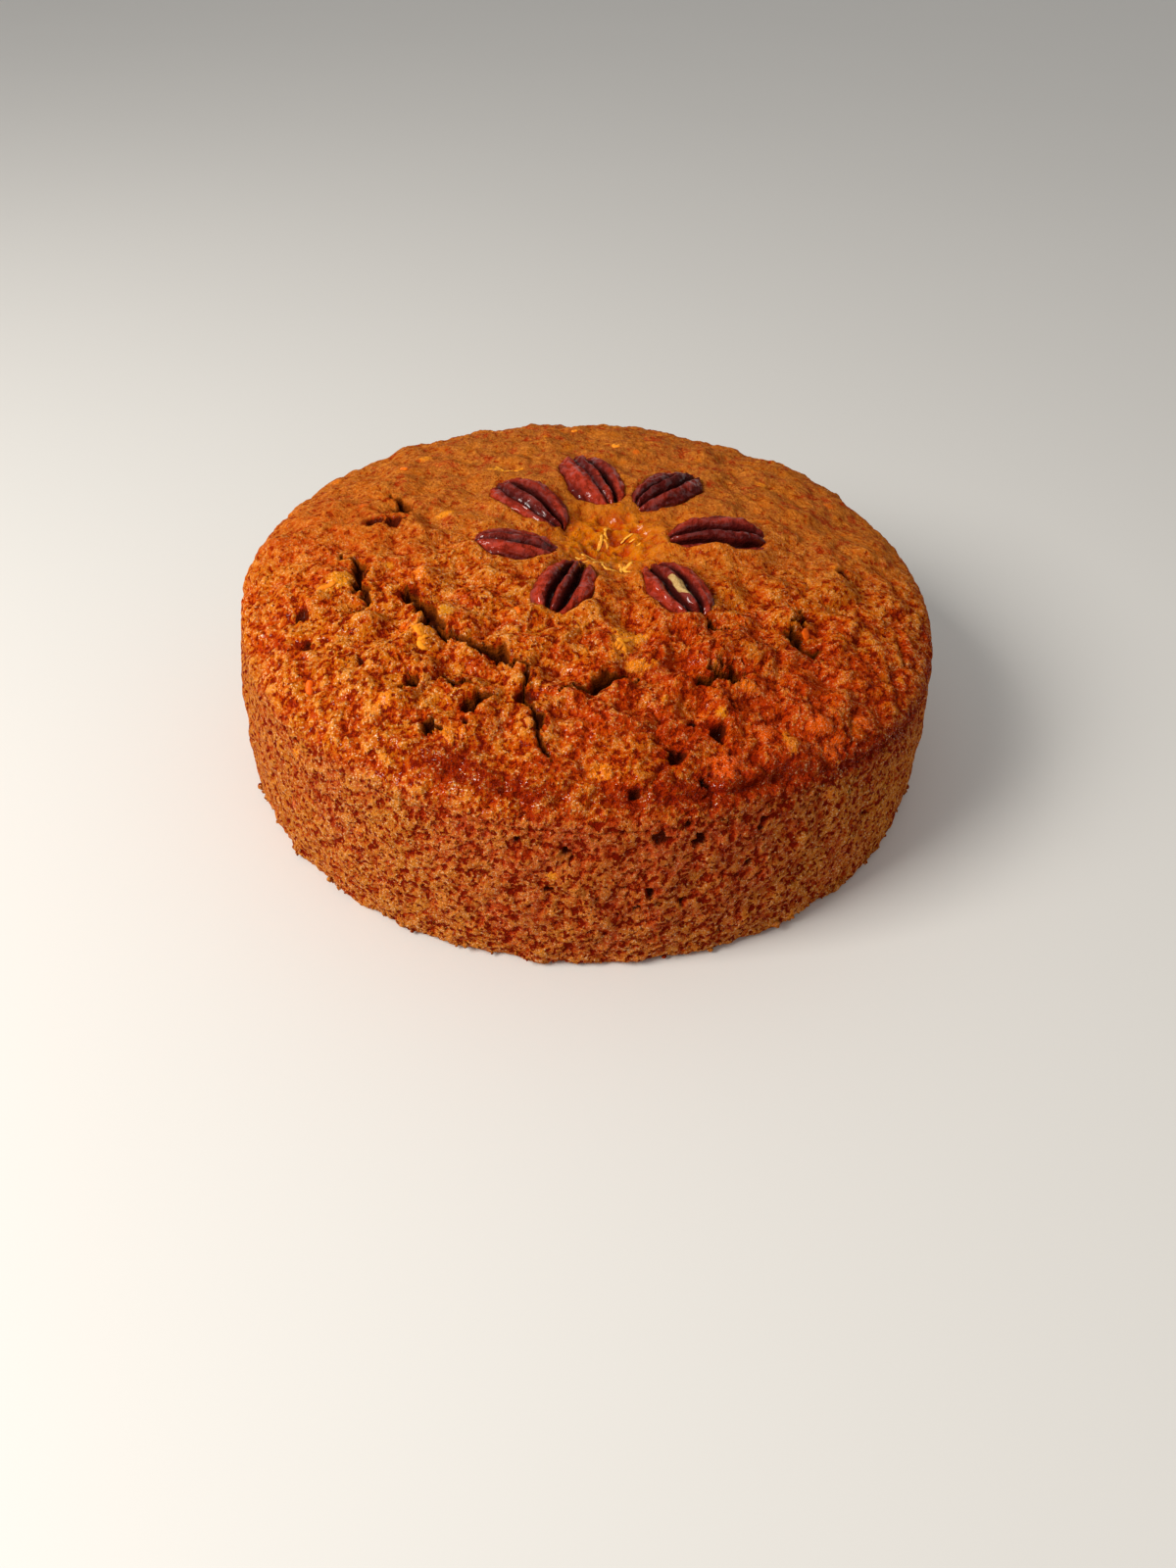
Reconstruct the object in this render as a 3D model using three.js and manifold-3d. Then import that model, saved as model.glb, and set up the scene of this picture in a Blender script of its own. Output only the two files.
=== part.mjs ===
// A whole round carrot cake: one solid with a tin-straight wall, a domed and cracked top
// and a shallow dip in the middle, where seven pecan halves are pressed in as a ring.
// Millimetres, +Z up. The origin is the centre of the flat base, and the front is -Y.
import * as THREE from 'three';
import { mergeVertices } from 'three/addons/utils/BufferGeometryUtils.js';
import Module from 'manifold-3d';

const wasm = await Module();
wasm.setup();

// The tin: a nearly straight wall up to the seam, which is where the batter rose clear of the metal.
const WALL_RADIUS = 101.2;
const WALL_TAPER = 2.2;
const WALL_BULGE = 1.4;
const BASE_ROUND = 2.5;
const SEAM_HEIGHT = 44.7;
const SEAM_TILT = 1;
const SEAM_HIGH_SIDE = THREE.MathUtils.degToRad(-33);
const SEAM_LIP = 0.5;

// The dome: a full rise inside the seam, higher and fuller at the back left, with the steepest
// shoulder on the left.
const DOME_RADIUS = WALL_RADIUS - WALL_TAPER;
const DOME_RISE = 22.2;
const DOME_FULLNESS = 2.9;
const DOME_HIGH_SIDE = THREE.MathUtils.degToRad(148);
const DOME_LEAN = 0.12;
const SIDE_FULLNESS = 0.5;
const SHOULDER_SIDE = THREE.MathUtils.degToRad(178);
const SHOULDER_FULLNESS = 2.5;
const SHOULDER_SHARPNESS = 16;

// The ring of pecan halves, a little right of the middle, round the dip.
const RING_CENTRE = new THREE.Vector2(5.5, -0.5);
const RING_RADIUS = 29.5;
const RING_START = THREE.MathUtils.degToRad(1);
const DIP_DEPTH = 4.5;
const DIP_RADIUS = 17;

// One pecan half: ridged side up, flat side down, half sunk in the crust.
const PECAN_LENGTH = 30;
const PECAN_WIDTH = 18.5;
const PECAN_RIDGE = 6.6;
const PECAN_UNDERSIDE = 3;
const PECAN_TIP = 0.1;
const PECAN_SINK = 2.4;
const GROOVE_PLACE = 0.28;
const GROOVE_WIDTH = 0.12;
const GROOVE_DEPTH = 1.9;
const POCKET_GAP = 0.8;

// Lumps of the crust: long swells everywhere, and shorter crags that are tall at the front.
const SWELL_HEIGHT = 0.7;
const SWELL_LENGTH = 31;
const CRAG_HEIGHT = 1.5;
const CRAG_LENGTH = 16;
const CRAG_FRONT = -55;
const CRAG_SPREAD = 42;
const WALL_LUMPS = 0.45;
const GOLDEN_ANGLE = 2.39996;

// Rows and columns of the surfaces.
const CAKE_COLUMNS = 80;
const WALL_ROWS = 7;
const DOME_ROWS = 25;
const PECAN_AROUND = 20;
const PECAN_ALONG = 12;
const POCKET_AROUND = 12;
const POCKET_ALONG = 10;
const CRACK_STEPS = 9;
const CRACK_CLEARANCE = 4;

const crust = new THREE.MeshStandardMaterial({ color: 0xa8591f, roughness: 0.75, metalness: 0 });
const nutSkin = new THREE.MeshStandardMaterial({ color: 0x4d1a12, roughness: 0.45, metalness: 0 });

// Each pecan differs a little: turn along the ring, reach from its middle, twist off the radius,
// lean to one side (all in degrees or millimetres) and size against the usual one.
const PECANS = [
  { turn: 3, reach: 1, twist: 2, lean: 18, size: 0.98 },
  { turn: 6, reach: 3, twist: -12, lean: -4, size: 0.9 },
  { turn: -4, reach: 2.3, twist: 14, lean: 8, size: 1.0 },
  { turn: -8.5, reach: -1.5, twist: -11.5, lean: -10, size: 0.95 },
  { turn: -9, reach: -2.5, twist: -23.5, lean: 4, size: 0.8 },
  { turn: -11, reach: -1.2, twist: 6, lean: -3, size: 0.9 },
  { turn: -3.5, reach: 1, twist: -8, lean: 5, size: 0.9 },
];

// Cracks and torn pits of the dome: ends in plan, how far the middle bows to the left of the way
// from one to the other, and the width and depth of the opening.
const CRACKS = [
  { from: [-46, -31], to: [-30, -50.5], bow: -3, width: 4.6, depth: 5.5 },
  { from: [-31, -50], to: [-14.5, -67], bow: 2, width: 4.2, depth: 5 },
  { from: [-14.5, -65.5], to: [-5.5, -88], bow: -1, width: 3.2, depth: 4.5 },
  { from: [-7, -70], to: [14, -61], bow: 1, width: 3.8, depth: 5 },
  { from: [-72, -5], to: [-62, -32], bow: 4, width: 4.4, depth: 4.5 },
  { from: [-58, 23], to: [-54, 5], bow: 2, width: 3.4, depth: 4.5 },
  { from: [30, -63.5], to: [39, -57], bow: 0.5, width: 3.6, depth: 4.5 },
  { from: [57, -32], to: [57, -49], bow: -3, width: 2.6, depth: 3.5 },
  { from: [-34, -62], to: [-26, -73], bow: 2, width: 3.2, depth: 4 },
  { from: [-43.5, -59], to: [-41, -67], bow: 0.5, width: 3.8, depth: 4 },
  { from: [21, -87], to: [24, -80.5], bow: 0.5, width: 3.4, depth: 4 },
];

// The fold at the front right, where the dome hangs over the wall: it starts above the seam and
// sinks below it towards the right.
const FOLD = { start: -74, end: -24, width: 3.2, depth: 2.6, rise: 5.5 };

// Sum of eight plane waves, one step of the golden angle apart: an even, lumpy field of about -1 to 1.
function lumps(x, y, z, length) {
  let sum = 0;
  for (let k = 0; k < 8; k++) {
    const heading = k * GOLDEN_ANGLE;
    const along = x * Math.cos(heading) + y * Math.sin(heading) + z * Math.sin(3 * heading);
    sum += Math.sin((2 * Math.PI * along * (1 + 0.09 * k)) / length + 1.7 * k);
  }
  return sum / 3;
}

function seamHeight(angle) {
  return SEAM_HEIGHT + SEAM_TILT * Math.cos(angle - SEAM_HIGH_SIDE);
}

// Radius of the wall at a share of the way from the base to the seam.
function wallRadius(share) {
  return WALL_RADIUS - WALL_TAPER * share + 4 * WALL_BULGE * share * (1 - share);
}

// How square the dome's profile is on one side: the greater, the nearer its shoulder is to the seam.
function fullness(angle) {
  const shoulder = Math.exp(SHOULDER_SHARPNESS * (Math.cos(angle - SHOULDER_SIDE) - 1));
  return DOME_FULLNESS + SIDE_FULLNESS * Math.cos(angle - DOME_HIGH_SIDE) + SHOULDER_FULLNESS * shoulder;
}

// Height of the smooth dome over a point of the plan, without its lumps.
function domeHeight(x, y) {
  const share = Math.min(1, Math.hypot(x, y) / DOME_RADIUS);
  const angle = Math.atan2(y, x);
  const uneven = (seamHeight(angle) - SEAM_HEIGHT) * share ** 2;
  const lean = 1 + DOME_LEAN * share * Math.cos(angle - DOME_HIGH_SIDE);
  const rise = DOME_RISE * lean * Math.sqrt(1 - share ** fullness(angle));
  const fromRing = Math.hypot(x - RING_CENTRE.x, y - RING_CENTRE.y);
  const dip = DIP_DEPTH * Math.exp(-((fromRing / DIP_RADIUS) ** 2));
  return SEAM_HEIGHT + uneven + rise - dip;
}

// Lumps of the dome: the swells, and the crags round the front that fade towards the seam.
function domeLumps(x, y) {
  const share = Math.min(1, Math.hypot(x, y) / DOME_RADIUS);
  const front = Math.exp(-(((y - CRAG_FRONT) / CRAG_SPREAD) ** 2));
  const crags = CRAG_HEIGHT * (0.35 + 0.65 * front) * lumps(x, y, 0, CRAG_LENGTH);
  return (1 - share ** 6) * (SWELL_HEIGHT * lumps(x, y, 0, SWELL_LENGTH) + crags);
}

// Profile of the plain lathe, from the middle of the base up the wall and in over the dome.
function cakeProfile() {
  const profile = [new THREE.Vector2(0, 0), new THREE.Vector2(WALL_RADIUS - BASE_ROUND, 0)];
  profile.push(new THREE.Vector2(WALL_RADIUS - 0.3 * BASE_ROUND, 0.3 * BASE_ROUND));
  for (let row = 0; row <= WALL_ROWS; row++) {
    const share = row / WALL_ROWS;
    const height = THREE.MathUtils.lerp(BASE_ROUND, SEAM_HEIGHT - 1.5, share);
    profile.push(new THREE.Vector2(wallRadius(height / SEAM_HEIGHT), height));
  }
  for (let row = 0; row < DOME_ROWS; row++) {
    const share = Math.cos((0.5 * Math.PI * row) / DOME_ROWS);
    profile.push(new THREE.Vector2(DOME_RADIUS * share, SEAM_HEIGHT));
  }
  profile.push(new THREE.Vector2(0, SEAM_HEIGHT));
  return profile;
}

// Moves a point of the lathe to the cake: the wall is stretched up to the uneven seam and lumped
// outwards, with a lip just under the seam, and the flat top is lifted to the dome.
function settle(point) {
  const radius = Math.hypot(point.x, point.y);
  const angle = Math.atan2(point.y, point.x);
  if (point.z >= SEAM_HEIGHT - 1e-4) {
    point.z = domeHeight(point.x, point.y) + domeLumps(point.x, point.y);
    return;
  }
  const share = point.z / SEAM_HEIGHT;
  const lip = SEAM_LIP * share ** 12 * (0.5 + 0.5 * Math.cos(2 * (angle - SEAM_HIGH_SIDE)));
  const bulge = point.z > 0 ? WALL_LUMPS * lumps(point.x, point.y, point.z, CRAG_LENGTH) + lip : 0;
  point.z *= seamHeight(angle) / SEAM_HEIGHT;
  point.x += (bulge * point.x) / Math.max(radius, 1);
  point.y += (bulge * point.y) / Math.max(radius, 1);
}

// Closed solid of a three.js geometry, for joining and cutting.
function solid(geometry) {
  const bare = geometry.clone();
  bare.deleteAttribute('normal');
  bare.deleteAttribute('uv');
  const welded = mergeVertices(bare, 1e-3);
  const vertProperties = new Float32Array(welded.getAttribute('position').array);
  const triVerts = new Uint32Array(welded.index.array);
  return new wasm.Manifold(new wasm.Mesh({ numProp: 3, vertProperties, triVerts }));
}

// The biggest of the bodies that the cuts leave: any crumb that they set loose is dropped.
function largest(body) {
  return body.decompose().reduce((a, b) => (b.volume() > a.volume() ? b : a));
}

function geometryOf(body) {
  const { vertProperties, triVerts } = body.getMesh();
  const geometry = new THREE.BufferGeometry();
  geometry.setAttribute('position', new THREE.BufferAttribute(vertProperties, 3));
  geometry.setIndex(new THREE.BufferAttribute(triVerts, 1));
  geometry.computeVertexNormals();
  return geometry;
}

// Applies a function to every vertex of a geometry, in place.
function reshape(geometry, move) {
  const positions = geometry.getAttribute('position');
  const point = new THREE.Vector3();
  for (let i = 0; i < positions.count; i++) {
    move(point.fromBufferAttribute(positions, i));
    positions.setXYZ(i, point.x, point.y, point.z);
  }
  return geometry;
}

function cakeGeometry() {
  const lathe = new THREE.LatheGeometry(cakeProfile(), CAKE_COLUMNS);
  return reshape(lathe.rotateX(Math.PI / 2), settle);
}

// A pecan half lying along X: a ball whose ends are drawn in to blunt tips, flat below, with two
// long grooves that part its back into three ridges. The grown one, without grooves, is its pocket.
function pecanGeometry(size, grown, groove, around, along) {
  const halfLength = 0.5 * PECAN_LENGTH * size + grown;
  const halfWidth = 0.5 * PECAN_WIDTH * size + grown;
  const ball = new THREE.SphereGeometry(1, around, along).rotateZ(-Math.PI / 2);
  return reshape(ball, (point) => {
    const girth = Math.hypot(point.y, point.z);
    const turn = Math.atan2(point.y, point.z);
    const spread = turn - 0.2 * Math.sin(turn);
    const side = Math.sin(spread);
    const lift = Math.cos(spread);
    const tip = 1 + PECAN_TIP * point.x;
    const furrow = groove * girth ** 0.5 * Math.exp(-(((Math.abs(side) - GROOVE_PLACE) / GROOVE_WIDTH) ** 2));
    const height = lift > 0 ? PECAN_RIDGE * size + grown : PECAN_UNDERSIDE * size + grown;
    point.x *= halfLength;
    point.y = halfWidth * girth ** 0.85 * side * tip;
    point.z = girth ** 0.8 * lift * height - (lift > 0 ? furrow : 0);
  });
}

// Where a pecan lies: on the ring, pointing outwards, pitched with the dome under its two ends.
function pecanPlace(index) {
  const { turn, reach, twist, lean, size } = PECANS[index];
  const angle = RING_START + (2 * Math.PI * index) / PECANS.length + THREE.MathUtils.degToRad(turn);
  const heading = angle + THREE.MathUtils.degToRad(twist);
  const x = RING_CENTRE.x + (RING_RADIUS + reach) * Math.cos(angle);
  const y = RING_CENTRE.y + (RING_RADIUS + reach) * Math.sin(angle);
  const half = 0.35 * PECAN_LENGTH * size;
  const outer = domeHeight(x + half * Math.cos(heading), y + half * Math.sin(heading));
  const inner = domeHeight(x - half * Math.cos(heading), y - half * Math.sin(heading));
  const position = new THREE.Vector3(x, y, 0.5 * (outer + inner) - PECAN_SINK * size);
  const pitch = -Math.atan2(outer - inner, 2 * half);
  const rotation = new THREE.Euler(THREE.MathUtils.degToRad(lean), pitch, heading, 'ZYX');
  return { position, rotation, size };
}

function pecanMesh(index) {
  const { position, rotation, size } = pecanPlace(index);
  const geometry = pecanGeometry(size, 0, GROOVE_DEPTH, PECAN_AROUND, PECAN_ALONG);
  const mesh = new THREE.Mesh(geometry, nutSkin);
  mesh.name = `pecan_${index + 1}`;
  mesh.position.copy(position);
  mesh.rotation.copy(rotation);
  return mesh;
}

function pecanPocket(index) {
  const { position, rotation, size } = pecanPlace(index);
  const grown = pecanGeometry(size, POCKET_GAP, 0, POCKET_AROUND, POCKET_ALONG);
  const turned = new THREE.Quaternion().setFromEuler(rotation);
  return solid(grown.applyMatrix4(new THREE.Matrix4().compose(position, turned, new THREE.Vector3(1, 1, 1))));
}

// A wedge along a path: at each stop a triangle that points into the cake and opens outwards.
// The side of a stop is on the right of the way, seen from outside.
function wedge(stops) {
  const corners = [];
  for (const { point, outward, side, width, depth } of stops) {
    const open = (0.5 * width * (depth + CRACK_CLEARANCE)) / depth;
    const mouth = point.clone().addScaledVector(outward, CRACK_CLEARANCE);
    corners.push(mouth.clone().addScaledVector(side, open));
    corners.push(mouth.clone().addScaledVector(side, -open));
    corners.push(point.clone().addScaledVector(outward, -depth));
  }
  const faces = [0, 1, 2];
  for (let stop = 0; stop < stops.length - 1; stop++) {
    for (let edge = 0; edge < 3; edge++) {
      const a = 3 * stop + edge;
      const b = 3 * stop + ((edge + 1) % 3);
      faces.push(a, a + 3, b, b, a + 3, b + 3);
    }
  }
  const last = 3 * (stops.length - 1);
  faces.push(last, last + 2, last + 1);
  const geometry = new THREE.BufferGeometry().setFromPoints(corners);
  geometry.setIndex(faces);
  return solid(geometry);
}

// How open a crack is along its way, from its ends at 0 and 1 to its middle, with ragged sides.
function gape(share, seed) {
  return Math.max(0.2, Math.sin(Math.PI * share) ** 0.6 * (0.8 + 0.3 * Math.sin(9 * share + seed)));
}

function crackWedge({ from, to, bow, width, depth }, index) {
  const start = new THREE.Vector2(...from);
  const way = new THREE.Vector2(...to).sub(start);
  const left = new THREE.Vector2(-way.y, way.x).normalize();
  const stops = [];
  for (let step = 0; step <= CRACK_STEPS; step++) {
    const share = step / CRACK_STEPS;
    const sway = bow * Math.sin(Math.PI * share) + 0.7 * Math.sin(7 * share * Math.PI + index);
    const plan = start.clone().addScaledVector(way, share).addScaledVector(left, sway);
    const point = new THREE.Vector3(plan.x, plan.y, domeHeight(plan.x, plan.y) + domeLumps(plan.x, plan.y));
    const open = gape(share, index);
    stops.push({
      point,
      outward: new THREE.Vector3(0, 0, 1),
      side: new THREE.Vector3(-left.x, -left.y, 0),
      width: width * open,
      depth: depth * Math.sqrt(open),
    });
  }
  return wedge(stops);
}

// The fold runs round the side of the cake, from a little above the seam to a little below it.
function foldWedge() {
  const stops = [];
  for (let step = 0; step <= 2 * CRACK_STEPS; step++) {
    const share = step / (2 * CRACK_STEPS);
    const angle = THREE.MathUtils.degToRad(THREE.MathUtils.lerp(FOLD.start, FOLD.end, share));
    const outward = new THREE.Vector3(Math.cos(angle), Math.sin(angle), 0);
    const above = FOLD.rise * Math.cos(Math.PI * share);
    const inset = (1 - (Math.max(0, above) / DOME_RISE) ** 2) ** (1 / fullness(angle));
    const point = outward.clone().multiplyScalar(DOME_RADIUS * inset);
    point.z = seamHeight(angle) + above;
    const open = gape(share, 0);
    stops.push({
      point,
      outward,
      side: new THREE.Vector3(0, 0, -1),
      width: FOLD.width * open,
      depth: FOLD.depth * Math.sqrt(open),
    });
  }
  return wedge(stops);
}

function cakeMesh() {
  let body = solid(cakeGeometry());
  CRACKS.forEach((crack, index) => {
    body = body.subtract(crackWedge(crack, index));
  });
  body = body.subtract(foldWedge());
  PECANS.forEach((pecan, index) => {
    body = body.subtract(pecanPocket(index));
  });
  const mesh = new THREE.Mesh(geometryOf(largest(body)), crust);
  mesh.name = 'cake';
  return mesh;
}

const carrotCake = new THREE.Group();
carrotCake.add(cakeMesh());
PECANS.forEach((pecan, index) => carrotCake.add(pecanMesh(index)));

export default carrotCake;
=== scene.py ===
"""Dresses a whole round carrot cake: its craggy crown and open-crumbed side, seven pecan halves,
carrot shreds and loose crumbs. Lengths inside the functions are millimetres, +Z up, front at -Y."""

import math

import bpy
import numpy as np
from bpy.props import FloatProperty, FloatVectorProperty, IntProperty, PointerProperty
from mathutils import Matrix


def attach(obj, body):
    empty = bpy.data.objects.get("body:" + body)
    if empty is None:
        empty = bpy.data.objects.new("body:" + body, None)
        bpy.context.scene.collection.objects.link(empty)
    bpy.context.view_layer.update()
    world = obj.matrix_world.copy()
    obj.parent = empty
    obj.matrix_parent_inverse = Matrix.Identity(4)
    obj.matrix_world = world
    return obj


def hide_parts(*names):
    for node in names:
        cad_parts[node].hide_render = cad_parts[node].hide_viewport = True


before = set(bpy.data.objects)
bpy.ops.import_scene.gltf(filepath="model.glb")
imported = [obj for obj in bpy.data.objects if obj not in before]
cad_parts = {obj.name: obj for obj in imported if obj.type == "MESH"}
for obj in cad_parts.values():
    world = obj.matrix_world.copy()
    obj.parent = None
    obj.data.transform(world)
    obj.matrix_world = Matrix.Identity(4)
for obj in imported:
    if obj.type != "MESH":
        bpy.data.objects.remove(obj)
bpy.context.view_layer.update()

bl_info = {
    "name": "Carrot cake",
    "version": (1, 0, 0),
    "blender": (4, 5, 0),
    "location": "3D View > Sidebar > Cake",
    "description": "A whole round carrot cake with a cracked crown and a ring of pecan halves",
    "category": "Add Mesh",
}

BODY = "root"
GOLDEN_ANGLE = 2.39996

# A millimetre in metres, and a metre in millimetres.
MM = 0.001
METRE = 1000

# The tin's wall, the seam and the dome, as the solid has them.
WALL_RADIUS = 101.2
WALL_TAPER = 2.2
WALL_BULGE = 1.4
BASE_ROUND = 2.5
SEAM_HEIGHT = 44.7
SEAM_TILT = 1.0
SEAM_HIGH_SIDE = math.radians(-33)
SEAM_LIP = 0.5
DOME_RADIUS = WALL_RADIUS - WALL_TAPER
DOME_RISE = 22.2
DOME_FULLNESS = 2.9
DOME_HIGH_SIDE = math.radians(148)
DOME_LEAN = 0.12
SIDE_FULLNESS = 0.5
SHOULDER_SIDE = math.radians(178)
SHOULDER_FULLNESS = 2.5
SHOULDER_SHARPNESS = 16
SWELL_HEIGHT = 0.7
SWELL_LENGTH = 31
CRAG_HEIGHT = 1.5
CRAG_LENGTH = 16
CRAG_FRONT = -55
CRAG_SPREAD = 42
WALL_LUMPS = 0.45

# Rows that round the wall's foot, as shares of its rounding: height above the floor and inset.
FOOT_LEVELS = np.array([0.55, 0.2, 0.0])
FOOT_INSETS = np.array([0.15, 0.5, 1.0])

# Angle of the first corner of the crown's grid, and the hidden point that closes crown and wall.
RIM_START = -0.75 * math.pi
MIDDLE = (0, 0, SEAM_HEIGHT - 8)

# The ring of pecan halves round the dip.
RING_CENTRE = np.array([5.5, -0.5])
RING_RADIUS = 29.5
RING_START = math.radians(1)
DIP_DEPTH = 4.5
DIP_RADIUS = 17
PECAN_LENGTH = 30
PECAN_WIDTH = 18.5
PECAN_RIDGE = 6.6
PECAN_UNDERSIDE = 3
PECAN_TIP = 0.1
PECAN_SINK = 2.4
PECAN_SQUARENESS = 2.3
GROOVE_PLACE = 0.27
SCRAPED_PECAN = 6
BED_DEPTH = 2.6
BED_EDGE = 1.02

# Turn along the ring, reach from its middle, twist off the radius, lean, size, how high the dough
# banks up on the side that faces the front, how deep the left and the right groove are, and how
# much painted shade darkens the skin.
PECANS = (
    (3, 1, 2, 18, 0.98, 2.6, 1.0, 1.2, 0.25),
    (6, 3, -12, -4, 0.9, -0.4, 1.0, 1.0, 0.5),
    (-4, 2.3, 14, 8, 1.0, -0.3, 0.35, 1.25, 0.0),
    (-8.5, -1.5, -11.5, -10, 0.95, 0.6, 0.45, 1.35, 0.15),
    (-9, -2.5, -23.5, 4, 0.8, -0.4, 0.7, 0.8, 0.15),
    (-11, -1.2, 6, -3, 0.9, 0.9, 1.5, 1.5, 0.05),
    (-3.5, 1, -8, 5, 0.9, 0.6, 1.1, 1.0, 0.1),
)

# Rips in the crown's crust: the way in plan, width, depth, and how much higher the crust stands on
# the left of the way than on the right.
RIPS = (
    (
        ((-48, -29), (-43.5, -35), (-42, -40), (-34.7, -48), (-27.5, -52), (-21.8, -55), (-17.4, -57)),
        3.9, 5.6, 3.0,
    ),
    (((-17.4, -57), (-13.9, -62), (-14.5, -68), (-10.5, -76), (-9.8, -81), (-6.3, -86.5)), 1.6, 2.0, 1.6),
    (((-6, -68), (-0.7, -66.5), (3.1, -64.7), (8.2, -60.6), (13.5, -58.5)), 3.2, 4.4, 1.8),
    (
        ((-70, -12), (-66.8, -16), (-63.5, -15.5), (-61.6, -22), (-61.2, -27.4), (-57.7, -33), (-61, -38)),
        2.6, 3.2, 0.8,
    ),
    (((-58, 16), (-53.5, 9), (-50, 3)), 4.4, 5.0, 0.5),
    (((58.5, -27), (56, -32), (53.5, -37.5)), 6.0, 6.5, 0.6),
    (((51.5, -39), (56, -40), (62, -42.5)), 5.4, 6.0, 0.6),
    (((28, -60), (34, -56.8), (40.5, -53)), 6.6, 7.0, 0.8),
    (((-35.5, -60.5), (-31.5, -63.5), (-27.5, -66)), 4.0, 4.6, 0.6),
    (((-29, -70), (-25.8, -71.5), (-20.4, -68)), 2.6, 3.6, 0.8),
    (((-43, -60), (-42, -63.8), (-45.5, -66)), 3.4, 4.0, 0.4),
    (((-38.5, -74), (-36.4, -77), (-33, -78.5)), 2.4, 3.0, 0.3),
    (((30, -38), (33.5, -39.5), (37, -40.5)), 2.6, 3.0, 0.3),
)

# How far apart the mounds and clumps of the crust, the pores and the stray carrot flecks lie.
MOUND_SIZE = 15
CLUMP_SIZE = 6.2
SIDE_CLUMP_SIZE = 5.4
PORE_SPACING = 4.2
FLECK_SPACING = 11

# Broad swells and dents of the crown: place in plan, spread and height.
SWELLS = (
    (63.7, 55.7, 14, 1.5),
    (78.3, 26.0, 12, -2.0),
    (-91.8, -4.2, 9, 1.6),
    (-89.2, -35.1, 12, -0.9),
    (-31.5, -12.5, 4, 1.6),
)

# Holes in the crumb: place, radius and depth.
HOLES = (
    (-46.2, -31.8, 65.5, 3.6, 3.5),
    (-42.5, -38.0, 65.0, 2.6, 2.5),
    (-16.8, -58.6, 63.5, 2.8, 3.0),
    (-13.6, -63.0, 62.7, 2.6, 3.0),
    (-13.6, -68.2, 61.8, 3.2, 3.0),
    (7.5, -61.8, 62.6, 2.8, 2.5),
    (-60.5, -25.0, 65.0, 2.6, 2.5),
    (-27.5, -71.0, 60.6, 2.6, 2.5),
    (-42.2, -64.0, 60.9, 2.6, 2.5),
    (-31.8, -63.4, 62.0, 2.2, 2.0),
    (-54.5, 0.6, 67.5, 4.4, 3.4),
    (-60.6, 0.6, 67.3, 3.6, 2.6),
    (-62.0, 24.4, 66.0, 2.4, 2.2),
    (-53.9, 23.6, 66.7, 1.5, 1.8),
    (-75.5, -35.2, 60.3, 2.8, 2.2),
    (-71.9, -46.1, 58.7, 2.0, 2.0),
    (-55.6, -55.1, 60.8, 1.5, 1.8),
    (71.2, -7.9, 60.3, 3.6, 4.0),
    (32.9, -74.4, 57.9, 3.2, 4.0),
    (22.5, -82.5, 56.7, 3.0, 4.2),
    (35.2, -66.0, 59.7, 2.2, 2.8),
    (26.6, -72.3, 59.2, 1.8, 2.4),
    (29.2, -88.6, 53.0, 1.5, 2.4),
    (-27.6, -76.8, 58.9, 1.8, 2.5),
    (-6.0, -86.0, 56.8, 1.6, 2.5),
    (13.3, -92.8, 52.7, 1.7, 2.2),
    (28.6, -95.5, 41.0, 1.9, 3.0),
    (-2.4, -99.8, 40.2, 1.5, 2.2),
    (43.4, -89.6, 41.7, 1.8, 2.4),
    (25.5, -95.6, 46.2, 1.3, 2.0),
    (17.7, -99.7, 26.4, 1.8, 2.6),
    (25.9, -98.2, 22.2, 1.4, 2.0),
    (10.6, -100.6, 28.6, 1.2, 2.0),
    (14.9, -100.5, 21.4, 1.2, 2.0),
    (-13.8, -98.6, 41.9, 1.2, 2.0),
    (-6.9, -101.0, 27.5, 1.3, 2.0),
    (41.6, -92.0, 30.0, 1.4, 2.2),
    (44.6, -91.0, 25.9, 1.3, 2.2),
    (67.5, -73.5, 40.0, 1.2, 2.0),
    (74.8, -68.4, 25.4, 1.8, 2.4),
    (71.4, -72.1, 22.9, 1.3, 2.0),
    (19.2, -97.5, 42.8, 2.2, 1.4),
)

# Bits of carrot baked flush into the crust: place, radius along and across, heading in degrees,
# and how yellow they are.
CARROT_BITS = (
    (34.1, -83.4, 4.2, 3.4, 20, 0.0),
    (45.0, -72.2, 2.8, 2.0, 60, 0.05),
    (57.5, -68.2, 3.4, 2.4, 30, 0.05),
    (62.1, -72.4, 4.4, 1.8, 55, 0.05),
    (57.6, -50.6, 2.6, 1.9, 20, 0.1),
    (70.3, -63.2, 2.4, 1.6, 10, 0.1),
    (40.2, -59.4, 3.0, 1.6, -20, 0.3),
    (-66.2, -26.1, 4.6, 3.2, 50, 0.85),
    (-42.1, -46.3, 5.0, 3.2, 10, 0.7),
    (-46.9, -43.5, 2.2, 1.6, 80, 0.2),
    (-42.8, -26.2, 4.0, 2.4, 0, 0.45),
    (-35.6, -40.1, 2.0, 2.4, 0, 1.0),
    (-26.3, 34.3, 5.5, 2.0, 15, 0.95),
    (-41.1, 6.3, 3.2, 1.8, 30, 0.8),
    (11.1, -46.2, 5.0, 3.0, 15, 0.8),
    (8.9, -52.7, 4.4, 2.2, 60, 0.6),
    (14.2, -56.0, 4.2, 1.6, 10, 0.6),
    (-47.6, -70.2, 2.4, 2.6, 0, 0.6),
    (-30.3, -79.9, 2.8, 2.4, 0, 0.55),
    (5.0, -88.7, 2.8, 2.2, 20, 0.5),
    (50.5, -73.8, 1.8, 3.4, 0, 0.55),
)
CARROT_LOWEST = 45

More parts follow.
